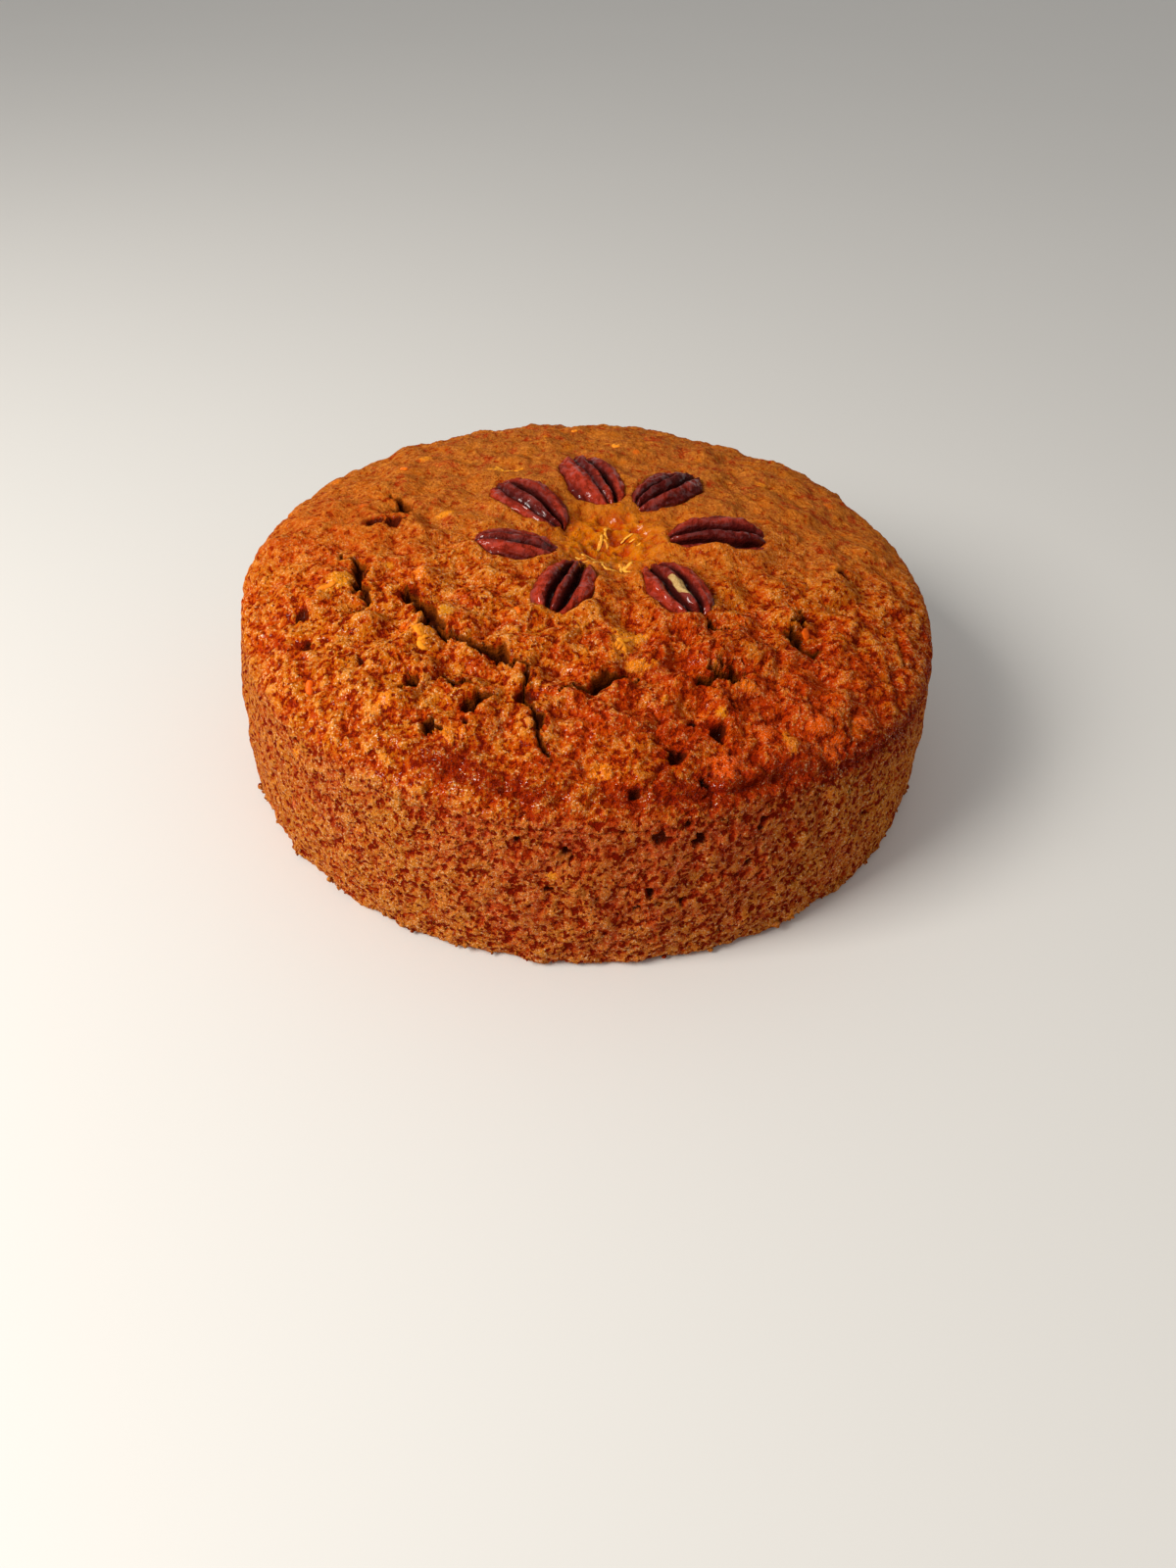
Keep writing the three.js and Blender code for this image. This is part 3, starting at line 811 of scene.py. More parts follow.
def crumb_material(name, look):
    """Baked crumb: granules that go from deep red between them to pale gold on top, partly their own colour
    and partly painted shade and painted highlight; redder round the craggy front and tan at the calm back;
    moist crumb in rips, with painted shade at their bottom and in holes; caramelised under the rim;
    carrot where it shows; with painted bright glints and glossy specks."""
    material, start, place = new_material(name)
    hollow, rip, pit, ruddy, moist, burnt, carrot, yellow = (attribute(start, mask) for mask in CRUST_MASKS)
    side, crest, craggy, lift, tint = (attribute(start, mask) for mask in CRUMB_MASKS)

    broad = place.noise(24, 3)
    patch = place.noise(6, 4)
    pore = place.noise(2.1, 4, 0.66)
    pock = place.noise(1.7, 1.5, 0.5)
    knot = place.noise(4.4, 2, 0.5)
    fine = place.noise(0.85, 3, 0.7)
    tiny = place.noise(0.45, 2, 0.6)
    cell = place.cells(1.0)

    calm = (1 - craggy * 1.15).clamped()
    coarse = (0.62 + craggy * 0.48) * (1 - moist * 0.5)
    # The grade rises with noise and with the relief's height and falls in hollows: granules are painted
    # shaded low and lit high, partly their own tone.
    grade = (fine - 0.5) * (1.9 + side * 0.7) + (pore - 0.5) * 1.5 + (knot - 0.5) * 0.5 - (cell - 0.5) * 0.6
    grade = grade * coarse * (1 + burnt * 0.5) + 0.76 + (lift - 0.4) * coarse
    grade = grade - hollow * 0.2 - burnt * 0.25 + carrot * 0.22

    # Redness is mostly the crust's baked colour; crests less red and hollows redder are partly painted
    # light and shade.
    redness = (patch - 0.5) * (3.4 - side * 2.4) + (broad - 0.5) * 1.9
    redness = redness + (tint - 0.5) * 0.3 - (crest - 0.35) * 0.5
    redness = redness + ruddy * (1.15 - side * 0.1) + hollow * 0.35 - 0.15
    baked = redness.step(0.75, 1.5) * 0.7
    body = baked.blend(redness.blend(look.golden, look.russet), look.ember)
    body = (side * 0.7).blend(body, redness.blend(look.wall, look.wall_red))
    crust = (patch * 1.8 - 0.45).blend(look.tan, look.golden)
    body = calm.blend(body, (ruddy * 0.6).blend(crust, look.russet))
    body = (patch.step(0.45, 0.36) * (0.3 + calm * 0.45 - side * 0.2)).blend(body, look.ember)
    body = (burnt * 0.85).blend(body, look.caramel)
    # The dip's folds go redder and darker: partly the dough's tone, partly painted shade in them.
    fold = hollow * 1.1 - 0.05 - (pore - 0.5) * 1.6
    body = (moist * 1.1).blend(body, fold.blend(look.moist, look.fold))
    body = carrot.blend(body, yellow.blend(look.carrot, look.yellow))

    # Low grade goes to ember, then to deep between the granules: partly the crumb's own red, partly painted
    # shade.
    colour = grade.step(0.14, 0.68).blend(look.ember, body)
    colour = grade.step(-0.05, 0.38).blend(look.deep, colour)
    # Pores painted ember, then deep: partly their red crumb, partly painted shade inside them.
    spots = pore.step(0.44, 0.36) * (0.35 + craggy * 0.45) * (1 - side * 0.45)
    spots = spots + pock.step(0.45, 0.38) * (side * (0.55 + ruddy * 0.6) + craggy * 0.15)
    spots = (spots * (1 - carrot * 0.8) * (1 - moist * 0.7)).clamped()
    colour = (spots * 1.6).blend(colour, look.ember)
    colour = ((spots - 0.25) * (1.4 + side * 0.5)).blend(colour, look.deep)
    # Painted highlight: the highest granules go pale, as if lit from above.
    lit = grade.step(0.68, 1.2) * (1 - burnt * 0.45) * (1 - calm * 0.45) * (1 - side * 0.45)
    lit = lit * (1 - moist * 0.6) * (1 - ruddy * 0.55) * (1 - carrot)
    colour = lit.blend(colour, look.pale)
    # Painted glints: tiny bright specks on the high granules, where light would glint.
    painted_glint = tiny.step(0.56, 0.66) * grade.step(0.5, 0.9)
    painted_glint = painted_glint * (craggy - 0.06 - ruddy * 0.5 - side * 0.2).clamped() * (1 - spots) * (1 - moist)
    colour = painted_glint.blend(colour, look.painted_glint)
    # Rips: moist crumb inside, with painted shade towards the bottom.
    inner = (fine * 1.8 - 0.4).blend(look.rip_shade, look.inside)
    frayed = (fine - 0.5) * 0.7 + (pore - 0.5) * 0.7
    pit = pit + frayed * pit.step(0.02, 0.12)
    rip = rip + frayed * rip.step(0.02, 0.12)
    # Holes: painted shade inside, partly the crumb's deep red.
    colour = pit.step(0.15, 0.55).blend(colour, look.pit)
    colour = rip.step(0.1, 0.45).blend(colour, rip.step(0.55, 0.95).blend(inner, look.rip_shade))

    wet = fine.step(0.5, 0.6) * moist
    speck = tiny.step(0.57, 0.67) * (0.1 + craggy * 0.6 + burnt * 0.4 - ruddy * 0.2) + wet * 0.8
    speck = speck * (1 - rip) * (1 - spots)
    rough = (0.8 - moist * 0.3 - carrot * 0.2 - burnt * 0.15).clamped()
    relief = grade * 0.35 + fine * 0.3 + tiny * 0.2 - spots * 0.5
    return close_material(
        material,
        start,
        Base_Color=colour,
        Roughness=rough,
        Specular_IOR_Level=0.01,
        Normal=relief.bump(0.95, 1.0),
        Coat_Weight=(speck + carrot * 0.1).clamped(),
        Coat_Roughness=0.16,
    )


def nut_material(name, look):
    """Pecan skin: maroon, redder and brighter on the ridges with painted light, nearly black in the grooves
    with painted shade, partly the skin's own tone; wrinkled lengthwise, under a thin glaze; pale where the
    skin is scraped off."""
    material, start, place = new_material(name)
    groove, ridge, scrape = (attribute(start, mask) for mask in ("groove", "ridge", "scrape"))
    patch = place.noise(5.0, 4)
    wrinkle = place.noise(1.9, 3, 0.6)
    fine = place.noise(0.9, 3, 0.6)
    # Redder and brighter on the lobes' tops, partly painted light; each nut's painted shade lowers it.
    colour = (ridge * 1.3 - 0.2 + (patch - 0.5) * 1.4).blend(look.skin, look.ridge)
    # Painted shade in the wrinkles' valleys and in the grooves, partly the skin's own tone.
    colour = (wrinkle.step(0.5, 0.36) * 0.45).blend(colour, look.groove)
    colour = groove.step(0.1, 0.75).blend(colour, look.groove)
    bare = fine.step(0.3, 0.6).blend(look.scraped, look.kernel)
    colour = scrape.step(0.3, 0.7).blend(colour, bare)
    rough = (0.5 + (patch - 0.5) * 0.4 + scrape * 0.3).clamped()
    relief = fine * 0.5 + wrinkle
    glaze = wrinkle.step(0.45, 0.58) * patch.step(0.36, 0.5) * (1 - scrape)
    return close_material(
        material,
        start,
        Base_Color=colour,
        Roughness=rough,
        Specular_IOR_Level=0.06,
        Normal=relief.bump(0.9, 0.9),
        Coat_Weight=glaze.clamped(),
        Coat_Roughness=0.14,
    )


def shred_material(name, look):
    """Cooked carrot: orange to yellow from shred to shred, browned in spots, moist."""
    material, start, place = new_material(name)
    tint = attribute(start, "tint")
    fine = place.noise(1.2, 3)
    colour = tint.blend(look.carrot, look.yellow)
    colour = (tint - 1).blend(colour, look.pale)
    colour = (fine.step(0.5, 0.3) * 0.6).blend(colour, look.browned)
    return close_material(
        material,
        start,
        Base_Color=colour,
        Roughness=0.36 + fine * 0.2,
        Specular_IOR_Level=0.1,
        Normal=fine.bump(0.3, 0.7),
        Coat_Weight=fine.step(0.5, 0.65) * 0.4,
        Coat_Roughness=0.2,
    )


def stage_material(name, colour):
    """The pale floor: one colour with hardly visible clouding."""
    material, start, place = new_material(name)
    shade = tuple(0.97 * part for part in colour)
    clouded = place.noise(300, 2).blend(colour, shade)
    return close_material(material, start, Base_Color=clouded, Roughness=0.55)


def colour_property(label, note, default):
    """A colour property with a name, a note and a default in linear red, green and blue."""
    return FloatVectorProperty(
        name=label, description=note, default=default, subtype="COLOR", size=3, min=0, max=1
    )


def count_property(label, note, default, low, high):
    """A whole number with a name, a note, a default and its limits."""
    return IntProperty(name=label, description=note, default=default, min=low, max=high)


def length_property(label, note, default):
    """A length with a name, a note and a default in metres."""
    return FloatProperty(name=label, description=note, default=default, unit="LENGTH")


def angle_property(label, note, default):
    """An angle with a name, a note and a default in degrees."""
    return FloatProperty(name=label, description=note, default=math.radians(default), subtype="ANGLE")


class CrumbLook(bpy.types.PropertyGroup):
    """Colours and fineness of the baked crumb."""

    golden: colour_property("Golden", "Golden tops of the mounds", (0.61, 0.155, 0.003))
    russet: colour_property("Russet", "Redder crust in the valleys", (0.58, 0.072, 0.001))
    wall: colour_property("Wall", "Browner crumb of the wall", (0.45, 0.140, 0.017))
    wall_red: colour_property("Red wall", "Redder crumb of the wall", (0.44, 0.066, 0.017))
    tan: colour_property("Tan", "Matte crust of the calm back", (0.285, 0.083, 0.026))
    # Pale is a painted highlight on the granule tops.
    pale: colour_property("Pale", "Tops of the granules", (0.80, 0.270, 0.032))
    # Bright specks painted where light would glint on the granules.
    painted_glint: colour_property("Sugar", "Bright specks on the granules", (0.95, 0.640, 0.360))
    moist: colour_property("Moist", "Shiny dough in the dip", (0.64, 0.178, 0.001))
    # Fold: the redder folds of the dip, partly painted shade in them.
    fold: colour_property("Fold", "Redder folds of the moist dough", (0.47, 0.055, 0.001))
    caramel: colour_property("Caramel", "Caramelised band under the rim", (0.28, 0.019, 0.001))
    # Ember: the crust's baked red, also partly painted shade on the granules' flanks.
    ember: colour_property("Ember", "Red flanks of the granules", (0.46, 0.032, 0.001))
    # Deep: the crumb's deep red between the granules, partly painted shade there.
    deep: colour_property("Deep", "Between the granules", (0.20, 0.008, 0.001))
    inside: colour_property("Inside", "Moist crumb inside a rip", (0.32, 0.062, 0.003))
    # Painted shade at the bottom of a rip.
    rip_shade: colour_property("Dark", "Bottom of a rip", (0.050, 0.007, 0.001))
    # Painted shade inside a hole, partly the crumb's deep red.
    pit: colour_property("Pit", "Inside of a hole", (0.100, 0.010, 0.002))
    carrot: colour_property("Carrot", "Orange carrot in the crust", (0.76, 0.085, 0.001))
    yellow: colour_property("Yellow", "Yellow carrot in the crust", (0.92, 0.320, 0.008))
    crown_grid: count_property("Crown grid", "Squares along the crown's grid", 300, 40, 300)
    side_rows: count_property("Side rows", "Rows of the wall from base to seam", 70, 12, 78)


class NutLook(bpy.types.PropertyGroup):
    """Colours and relief of the pecan halves."""

    # Skin: the flanks' maroon, partly painted shade low on the flanks.
    skin: colour_property("Skin", "Skin of the flanks", (0.100, 0.006, 0.004))
    # Ridge: the redder lobes, partly painted light on their tops.
    ridge: colour_property("Ridge", "Redder skin on the ridges", (0.410, 0.030, 0.008))
    # Groove: the skin in the grooves, partly painted shade in them.
    groove: colour_property("Groove", "Dark skin in the grooves", (0.038, 0.003, 0.002))
    kernel: colour_property("Kernel", "Bare kernel where the skin is scraped off", (0.560, 0.360, 0.140))
    scraped: colour_property("Scraped", "Darker grain of the bare kernel", (0.420, 0.230, 0.070))
    groove_depth: length_property("Groove depth", "Depth of the two long grooves", 0.003)
    wrinkle: length_property("Wrinkle", "Height of the skin's wrinkles", 0.0006)


class ToppingLook(bpy.types.PropertyGroup):
    """Colours, numbers and sizes of the carrot shreds and the loose crumbs."""

    carrot: colour_property("Carrot", "Orange shreds", (0.85, 0.110, 0.001))
    yellow: colour_property("Yellow", "Paler shreds", (0.94, 0.380, 0.014))
    pale: colour_property("Pale", "Palest shreds, in the dip", (0.95, 0.520, 0.090))
    browned: colour_property("Browned", "Browned spots on the shreds", (0.45, 0.070, 0.002))
    shreds: count_property("Shreds", "Shreds scattered over the crown", 10, 0, 400)
    crumbs: count_property("Crumbs", "Loose crumbs along the foot of the wall", 200, 0, 2000)
    crumb_size: length_property("Crumb size", "Radius of a middling crumb", 0.00052)


class StageLook(bpy.types.PropertyGroup):
    """Floor, lights and camera."""

    floor: colour_property("Floor", "Plain pale floor", (0.78, 0.765, 0.735))
    sky: FloatProperty(
        name="Sky",
        description="Strength of the even light from all round",
        default=0.41,
        min=0,
    )
    key: FloatProperty(
        name="Key light",
        description="Strength of the soft light at the left",
        default=10.2,
        unit="POWER",
    )
    lens: FloatProperty(name="Lens", description="Focal length in millimetres", default=25.99, min=1)
    eye: FloatVectorProperty(
        name="Eye",
        description="Place of the camera",
        default=(0.002, -0.2833, 0.2278),
        subtype="TRANSLATION",
        unit="LENGTH",
    )
    pitch: angle_property("Pitch", "How far the camera looks down", 42.18)
    roll: angle_property("Roll", "Turn of the camera about its view", 1.99)


def dome_base(count):
    """Smooth dome on the folded grid, and its outward normals from the slope of the height."""
    ring, angle = disc_grid(count)
    share = np.interp(ring, RING_WAY, RING_SHARE).ravel()
    angle = angle.ravel()
    x, y = DOME_RADIUS * share * np.cos(angle), DOME_RADIUS * share * np.sin(angle)
    points = np.stack([x, y, dome_height(x, y) + dome_lumps(x, y)], axis=1)
    inner = np.minimum(1, 0.9995 / np.maximum(share, 1e-9))
    near = 0.01
    xi, yi = x * inner, y * inner
    rise_x = (dome_height(xi + near, yi) - dome_height(xi - near, yi)) / (2 * near)
    rise_y = (dome_height(xi, yi + near) - dome_height(xi, yi - near)) / (2 * near)
    normals = unit(np.stack([-rise_x, -rise_y, np.ones(len(x))], axis=1))
    radial = np.stack([np.cos(angle), np.sin(angle), np.zeros(len(x))], axis=1)
    edge = smooth(0.985, 1.0, share)[:, None]
    return points, unit(normals * (1 - edge) + radial * edge)


def mix_masks(first, second, weight):
    """Masks that go from the first set to the second as the weight goes from 0 to 1."""
    return {name: first[name] * (1 - weight) + second[name] * weight for name in first}


def skin(points, above):
    """Relief and masks of the crust: the crown's above the seam, the wall's below it, blended over
    a band round the shoulder; the open crumb, the carrot and the crease are on both."""
    crown, crown_masks = crown_relief(points)
    side, side_masks = side_relief(points)
    over = smooth(0.0, 6.0, above)
    height = crown * over + side * (1 - over)
    masks = mix_masks(side_masks, crown_masks, over)
    crumb, pore, deep = crumb_relief(points, 0.25 + 0.75 * masks["craggy"])
    carrot, yellow = carrot_bits(points)
    crease, groove, band = crease_relief(points)
    height += crumb * (1 - 0.3 * carrot) * (1 - 0.5 * masks["moist"]) + crease + 0.15 * carrot
    masks["lift"] = np.clip(0.5 + (0.5 * masks["lift"] + crumb) / 1.1, 0, 1)
    # Pores, the sunk sponge and the crease's groove add painted shade, and a hole's depth sets painted
    # shade in it.
    masks["hollow"] = np.clip(masks["hollow"] + 0.75 * pore + 0.7 * groove, 0, 1)
    masks["pit"] = deep
    masks["caramel"] = band
    masks["carrot"] = carrot
    masks["yellow"] = yellow
    return height, masks


class CAKE_OT_crown(bpy.types.Operator):
    """Build the domed, cracked crown of the cake"""

    bl_idname = "cake.crown"
    bl_label = "Crown"

    def execute(self, context):
        look = context.scene.cake_crumb
        count = look.crown_grid
        points, normals = dome_base(count)
        above = points[:, 2] - seam_height(np.arctan2(points[:, 1], points[:, 0]))
        height, masks = skin(points, above)
        points = points + normals * height[:, None]
        side = count + 1
        grid = np.arange(side * side).reshape(side, side)
        rim = np.concatenate([grid[0, :-1], grid[:-1, -1], grid[-1, :0:-1], grid[:0:-1, 0]])
        points = np.vstack([points, [MIDDLE]])
        masks = {name: np.append(values, 0) for name, values in masks.items()}
        faces = grid_faces(side, side, False).tolist() + fan_faces(rim[::-1], side * side).tolist()
        piece = add_mesh("cake_crown", points, faces, masks)
        finish_piece(piece, crumb_material("crown crumb", look), ("cake",))
        return {"FINISHED"}


class CAKE_OT_side(bpy.types.Operator):
    """Build the wall of the cake with its open crumb, and the flat base"""

    bl_idname = "cake.side"
    bl_label = "Side"

    def execute(self, context):
        look = context.scene.cake_crumb
        columns = 4 * look.crown_grid
        angle = RIM_START + 2 * np.pi * np.arange(columns) / columns
        rows = look.side_rows
        level = np.linspace(1, BASE_ROUND / SEAM_HEIGHT, rows)
        level = np.concatenate([level, FOOT_LEVELS * BASE_ROUND / SEAM_HEIGHT])
        inset = np.concatenate([np.zeros(rows), FOOT_INSETS * BASE_ROUND])
        up, turn = np.meshgrid(level, angle, indexing="ij")
        lip = SEAM_LIP * up**12 * (0.5 + 0.5 * np.cos(2 * (turn - SEAM_HIGH_SIDE))) * smooth(1.0, 0.97, up)
        radius = wall_radius(up) - inset[:, None] + lip
        x, y = (radius * np.cos(turn)).ravel(), (radius * np.sin(turn)).ravel()
        z = (up * seam_height(turn)).ravel()
        points = np.stack([x, y, z], axis=1)
        turn, up = turn.ravel(), up.ravel()
        radial = np.stack([np.cos(turn), np.sin(turn), np.zeros(len(x))], axis=1)
        height, masks = skin(points, z - seam_height(turn))
        height += WALL_LUMPS * lumps(x, y, z, CRAG_LENGTH) * smooth(1.0, 0.9, up)
        height *= smooth(-0.01, 0.03, up)
        points = points + radial * height[:, None]
        total = len(points)
        points = np.vstack([points, [MIDDLE, (0, 0, 0)]])
        masks = {name: np.append(values, [0, 0]) for name, values in masks.items()}
        top = np.arange(columns)
        foot = total - columns + np.arange(columns)
        faces = grid_faces(len(level), columns, True)[:, ::-1].tolist()
        faces += fan_faces(top, total).tolist() + fan_faces(foot[::-1], total + 1).tolist()
        piece = add_mesh("cake_side", points, faces, masks)
        finish_piece(piece, crumb_material("side crumb", look), ("cake",))
        return {"FINISHED"}


def pecan_surface(index, look, around, along):
    """One pecan half on a grid of turn and length: a ball drawn out to blunt tips, flat below, its
    back parted by two long grooves into three ridges, with lengthwise wrinkles."""
    centre, turned, _ = pecan_place(index)
    size = PECANS[index][4]
    left, right, shade = PECANS[index][6:]
    way = np.linspace(0, np.pi, along)
    turn = 2 * np.pi * np.arange(around) / around
    way, turn = (part.ravel() for part in np.meshgrid(way, turn, indexing="ij"))
    length = -np.cos(way)
    girth = np.sin(way)
    spread = turn - 0.2 * np.sin(turn)
    across, lift = np.sin(spread), np.cos(spread)
    above = smooth(-0.05, 0.25, lift)
    wander = 0.04 * np.sin(2.6 * length + 1.9 * index) + 0.025 * np.sin(7 * length + index)
    place = np.abs(across + wander) - (GROOVE_PLACE + 0.03 * np.sin(3 * length + 2.3 * index))
    narrow = bell(place, 0.1)
    wide = bell(place, 0.22)
    strength = np.where(across + wander > 0, left, right)
    depth = METRE * look.groove_depth * size * np.sqrt(girth) * above * strength
    tip = 1 + PECAN_TIP * length
    height = np.where(lift > 0, PECAN_RIDGE, PECAN_UNDERSIDE) * size
    x = 0.5 * PECAN_LENGTH * size * length
    y = 0.5 * PECAN_WIDTH * size * girth**0.85 * across * tip
    z = girth**0.8 * lift * height
    flank = np.clip((np.abs(across) - 0.3) / 0.7, 0, 1)
    back = 0.5 * np.cos(np.clip(across / GROOVE_PLACE, -1, 1) * np.pi / 2)
    lobes = np.where(place < 0, back, 0.9 * np.sin(np.pi * flank))
    local = np.stack([x, y, z], axis=1)
    out = unit(np.stack([0.25 * length, across, lift], axis=1))
    seed = 1000 + 17 * index
    wrinkle = rugged(local * np.array([0.3, 1, 1]), 1.9, seed, 3) + 0.7 * grain(local, 3.2, seed + 3)
    bump = METRE * look.wrinkle * wrinkle * above * np.minimum(1, 3 * girth)
    local = local + out * (bump + 0.8 * size * lobes * above * girth)[:, None]
    local[:, 2] -= depth * (0.75 * narrow + 0.35 * wide)
    points = local @ turned.T + centre
    # The groove mask carries painted shade into the grooves, most in the wrinkles' valleys.
    groove = np.clip((narrow + 0.4 * wide * smooth(0.2, -0.5, wrinkle)) * above * strength, 0, 1)
    scraped = smooth(0.2, 0.13, np.abs(across + wander)) * smooth(0.36, 0.26, np.abs(length - 0.2 - across))
    # The ridge mask is the lobes' height, painted lighter, less each nut's painted shade.
    masks = {
        "groove": groove,
        "ridge": np.clip(lobes * above, 0, 1) - shade,
        "scrape": scraped * (index == SCRAPED_PECAN),
    }
    return points, masks


class CAKE_OT_pecans(bpy.types.Operator):
    """Build the seven pecan halves of the ring"""

    bl_idname = "cake.pecans"
    bl_label = "Pecan halves"

    def execute(self, context):
        look = context.scene.cake_nut
        material = nut_material("pecan skin", look)
        around, along = 112, 84
        for index in range(len(PECANS)):
            points, masks = pecan_surface(index, look, around, along)
            inner = slice(around - 1, len(points) - around + 1)
            points = points[inner]
            masks = {name: values[inner] for name, values in masks.items()}
            ring = 1 + np.arange(around)
            last = len(points) - 1 - around + np.arange(around)
            faces = (grid_faces(along - 2, around, True) + 1).tolist()
            faces += fan_faces(ring[::-1], 0).tolist() + fan_faces(last, len(points) - 1).tolist()
            node = f"pecan_{index + 1}"
            piece = add_mesh(f"{node}_half", points, faces, masks)
            finish_piece(piece, material, (node,))
        return {"FINISHED"}


def piece_points(name):
    """Points and normals of a built piece, in millimetres."""
    mesh = bpy.data.objects[name].data
    points = np.empty(3 * len(mesh.vertices))
    mesh.vertices.foreach_get("co", points)
    normals = np.empty(3 * len(mesh.vertices))
    mesh.vertices.foreach_get("normal", normals)
    return points.reshape(-1, 3) / MM, normals.reshape(-1, 3)


def crown_height(x, y, heights, count):
    """Height of the built crown over points of the plan, read between the grid's points."""
    row, column = disc_place(x, y, count)
    row, column = np.clip(row, 0, count - 1e-6), np.clip(column, 0, count - 1e-6)
    r, c = row.astype(int), column.astype(int)
    fr, fc = row - r, column - c
    low = heights[r, c] * (1 - fc) + heights[r, c + 1] * fc
    high = heights[r + 1, c] * (1 - fc) + heights[r + 1, c + 1] * fc
    return low * (1 - fr) + high * fr


def shred_spots(look, rng):
    """Middle, length, heading and tint of every shred: the clusters, then the scattered ones."""
    rows = []
    for (x, y), spread, number, length, yellow in SHRED_CLUSTERS:
        spots = rng.normal(0, 0.5 * spread, (number, 2)) + (x, y)
        lengths = length * rng.uniform(0.7, 1.2, number)
        tints = np.clip(yellow + rng.normal(0, 0.12, number), 0, 2)
        rows.append(np.column_stack([spots, lengths, rng.uniform(0, np.pi, number), tints]))
    number = look.shreds
    radius = SHRED_REACH * np.sqrt(rng.uniform(0.12, 1, number))
    angle = rng.uniform(-np.pi, np.pi, number)
    spots = np.column_stack([radius * np.cos(angle), radius * np.sin(angle)])
    lengths = rng.uniform(2.5, 6.0, number)
    headings = rng.uniform(0, np.pi, number)
    rows.append(np.column_stack([spots, lengths, headings, rng.uniform(0, 0.8, number)]))
    return np.vstack(rows)


class CAKE_OT_shreds(bpy.types.Operator):
    """Lay the carrot shreds on the crown, half baked in"""

    bl_idname = "cake.shreds"
    bl_label = "Carrot shreds"

    def execute(self, context):
        look = context.scene.cake_topping
        count = context.scene.cake_crumb.crown_grid
        rng = np.random.default_rng(SHRED_SEED)
        crown = piece_points("cake_crown")[0][: (count + 1) ** 2, 2].reshape(count + 1, count + 1)
        spots = shred_spots(look, rng)
        number, along, around = len(spots), 9, 8
        way = np.linspace(-0.5, 0.5, along)
        bend = rng.normal(0, 0.9, number)
        pale = spots[:, 4] > PALE_TINT
        width = np.where(pale, 0.55, 1.0) * rng.uniform(0.7, 1.15, number)
        sunk = rng.uniform(-0.35, 0.0, number) + np.where(pale, 0.06, 0.0)
        heading = spots[:, 3, None] + bend[:, None] * way
        x = spots[:, 0, None] + spots[:, 2, None] * way * np.cos(heading)
        y = spots[:, 1, None] + spots[:, 2, None] * way * np.sin(heading)
        z = crown_height(x.ravel(), y.ravel(), crown, count).reshape(x.shape)
        z = 0.5 * z + 0.25 * (np.roll(z, 1, 1) + np.roll(z, -1, 1))
        z[:, 0], z[:, -1] = z[:, 1] - 0.3, z[:, -2] - 0.3
        z = z + sunk[:, None]
        turn = 2 * np.pi * np.arange(around) / around
        taper = np.sqrt(np.clip(1 - (1.92 * way) ** 4, 0.02, 1))
        flat = (width[:, None] * taper)[:, :, None] * np.cos(turn)
        lift = (0.5 * width[:, None] * taper)[:, :, None] * np.sin(turn)
        points = np.stack(
            [
                x[:, :, None] - flat * np.sin(heading)[:, :, None],
                y[:, :, None] + flat * np.cos(heading)[:, :, None],
                z[:, :, None] + lift,
            ],
            axis=-1,
        ).reshape(-1, 3)
        caps = np.stack([np.arange(around)[::-1], (along - 1) * around + np.arange(around)])
        starts = along * around * np.arange(number)
        faces = repeat_faces(grid_faces(along, around, True), starts) + repeat_faces(caps, starts)
        masks = {"tint": np.repeat(spots[:, 4], along * around)}
        piece = add_mesh("carrot_shreds", points, faces, masks)
        finish_piece(piece, shred_material("cooked carrot", look))
        return {"FINISHED"}


class CAKE_OT_crumbs(bpy.types.Operator):
    """Scatter loose crumbs along the ragged foot of the wall"""

    bl_idname = "cake.crumbs"
    bl_label = "Crumbs"

    def execute(self, context):
        look = context.scene.cake_topping
        rng = np.random.default_rng(CRUMB_SEED)
        side, side_normals = piece_points("cake_side")
        low, high = CRUMB_BAND
        foot = np.flatnonzero((side[:, 2] > low) & (side[:, 2] < high))
        chosen = rng.choice(foot, look.crumbs)
        spots, normals = side[chosen], side_normals[chosen]
        radius = METRE * look.crumb_size * rng.lognormal(0, 0.35, len(spots))
        spots = spots + normals * (0.25 * radius)[:, None]
        spots[:, 2] = np.maximum(spots[:, 2], 1.05 * radius)
        around, along = 7, 4
        way = np.pi * (np.arange(along) + 0.6) / (along + 0.2)
        turn = 2 * np.pi * np.arange(around) / around
        ball = np.stack(
            [
                np.outer(np.sin(way), np.cos(turn)).ravel(),
                np.outer(np.sin(way), np.sin(turn)).ravel(),
                np.outer(np.cos(way), np.ones(around)).ravel(),
            ],
            axis=1,
        )
        uneven = rng.uniform(0.65, 1.25, (len(spots), len(ball), 1))
        stretch = rng.uniform(0.75, 1.25, (len(spots), 1, 3))
        points = spots[:, None, :] + ball[None] * uneven * stretch * radius[:, None, None]
        points[:, :, 2] = np.maximum(points[:, :, 2], 0.02)
        caps = np.stack([np.arange(around), (along - 1) * around + np.arange(around)[::-1]])
        starts = len(ball) * np.arange(len(spots))
        faces = repeat_faces(grid_faces(along, around, True)[:, ::-1], starts) + repeat_faces(caps, starts)
        size = len(spots) * len(ball)
        zero = np.zeros(size)
        masks = {name: zero for name in CRUST_MASKS}
        masks["side"] = zero + 1
        masks["crest"] = np.repeat(rng.uniform(0.2, 0.9, len(spots)), len(ball))
        masks["craggy"] = np.full(size, 0.6)
        masks["lift"] = np.full(size, 0.5)
        masks["tint"] = np.repeat(rng.uniform(0, 1, len(spots)), len(ball))
        piece = add_mesh("crumbs", points.reshape(-1, 3), faces, masks)
        finish_piece(piece, crumb_material("loose crumb", context.scene.cake_crumb))
        return {"FINISHED"}


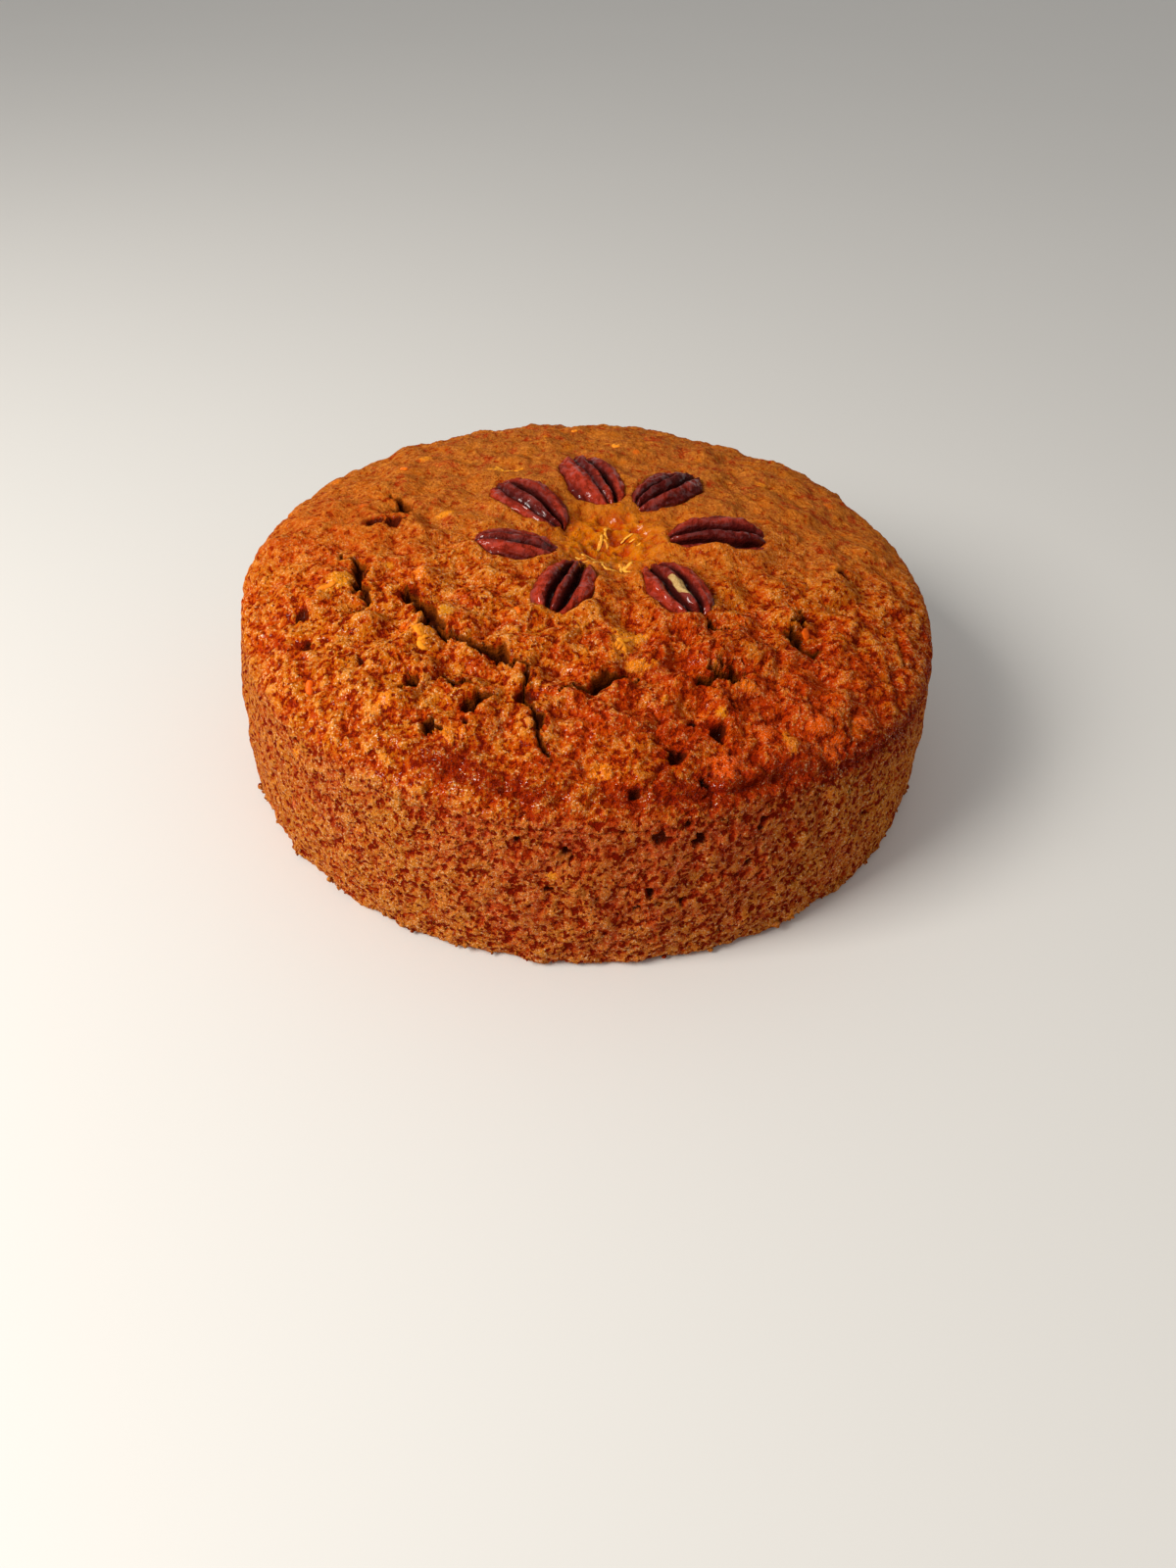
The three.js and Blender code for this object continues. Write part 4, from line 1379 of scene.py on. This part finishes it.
def add_light(name, place, size, power, colour):
    """A square soft light that looks at the middle of the cake."""
    data = bpy.data.lights.new(name, "AREA")
    data.energy, data.size, data.color = power, size, colour
    lamp = bpy.data.objects.new(name, data)
    away = np.array(place, float) - (0, 0, 0.03)
    lamp.matrix_world = Matrix.Translation(place) @ facing(away)
    bpy.context.scene.collection.objects.link(lamp)


def facing(away):
    """Turning matrix whose local Z points away: a light then looks the other way."""
    away = away / np.linalg.norm(away)
    across = np.cross((0, 0, 1), away)
    across /= np.linalg.norm(across)
    up = np.cross(away, across)
    return Matrix(np.column_stack([across, up, away]).tolist()).to_4x4()


class CAKE_OT_stage(bpy.types.Operator):
    """Set up the plain pale floor, the soft light, the even light all round and the camera"""

    bl_idname = "cake.stage"
    bl_label = "Floor, lights and camera"

    def execute(self, context):
        look = context.scene.cake_stage
        scene = context.scene
        half = FLOOR_HALF
        corners = np.array([(-half, -half, 0), (half, -half, 0), (half, half, 0), (-half, half, 0)])
        floor = add_mesh("floor", corners, [(0, 1, 2, 3)])
        floor.data.materials.append(stage_material("pale floor", look.floor))
        world = bpy.data.worlds.new("even light")
        world.use_nodes = True
        background = world.node_tree.nodes["Background"]
        background.inputs["Color"].default_value = SKY_COLOUR
        background.inputs["Strength"].default_value = look.sky
        scene.world = world
        add_light("key", KEY_PLACE, KEY_SIZE, look.key, KEY_COLOUR)
        data = bpy.data.cameras.new("camera")
        data.lens = look.lens
        data.sensor_width = 36.0
        data.clip_start = 0.01
        camera = bpy.data.objects.new("camera", data)
        tilt = Matrix.Rotation(math.pi / 2 - look.pitch, 4, "X") @ Matrix.Rotation(look.roll, 4, "Z")
        camera.matrix_world = Matrix.Translation(look.eye) @ tilt
        scene.collection.objects.link(camera)
        scene.camera = camera
        scene.view_settings.view_transform = "Standard"
        return {"FINISHED"}


OPERATORS = (CAKE_OT_stage, CAKE_OT_crown, CAKE_OT_side, CAKE_OT_pecans, CAKE_OT_shreds, CAKE_OT_crumbs)
GROUPS = {
    "cake_crumb": CrumbLook,
    "cake_nut": NutLook,
    "cake_topping": ToppingLook,
    "cake_stage": StageLook,
}


class CAKE_PT_panel(bpy.types.Panel):
    """The pieces of the cake and what can be changed on them."""

    bl_label = "Carrot cake"
    bl_idname = "CAKE_PT_panel"
    bl_space_type = "VIEW_3D"
    bl_region_type = "UI"
    bl_category = "Cake"

    def draw(self, context):
        for operator in OPERATORS:
            self.layout.operator(operator.bl_idname)
        for name, group in GROUPS.items():
            box = self.layout.box()
            for key in group.__annotations__:
                box.prop(getattr(context.scene, name), key)


def register():
    """Add the classes and the scene's settings."""
    for cls in (*GROUPS.values(), *OPERATORS, CAKE_PT_panel):
        bpy.utils.register_class(cls)
    for name, group in GROUPS.items():
        setattr(bpy.types.Scene, name, PointerProperty(type=group))


def unregister():
    """Take the settings and the classes away again."""
    for name in GROUPS:
        delattr(bpy.types.Scene, name)
    for cls in reversed((*GROUPS.values(), *OPERATORS, CAKE_PT_panel)):
        bpy.utils.unregister_class(cls)


def main():
    """Build every piece in order."""
    register()
    bpy.ops.cake.stage()
    bpy.ops.cake.crown()
    bpy.ops.cake.side()
    bpy.ops.cake.pecans()
    bpy.ops.cake.shreds()
    bpy.ops.cake.crumbs()


if __name__ == "__main__":
    main()
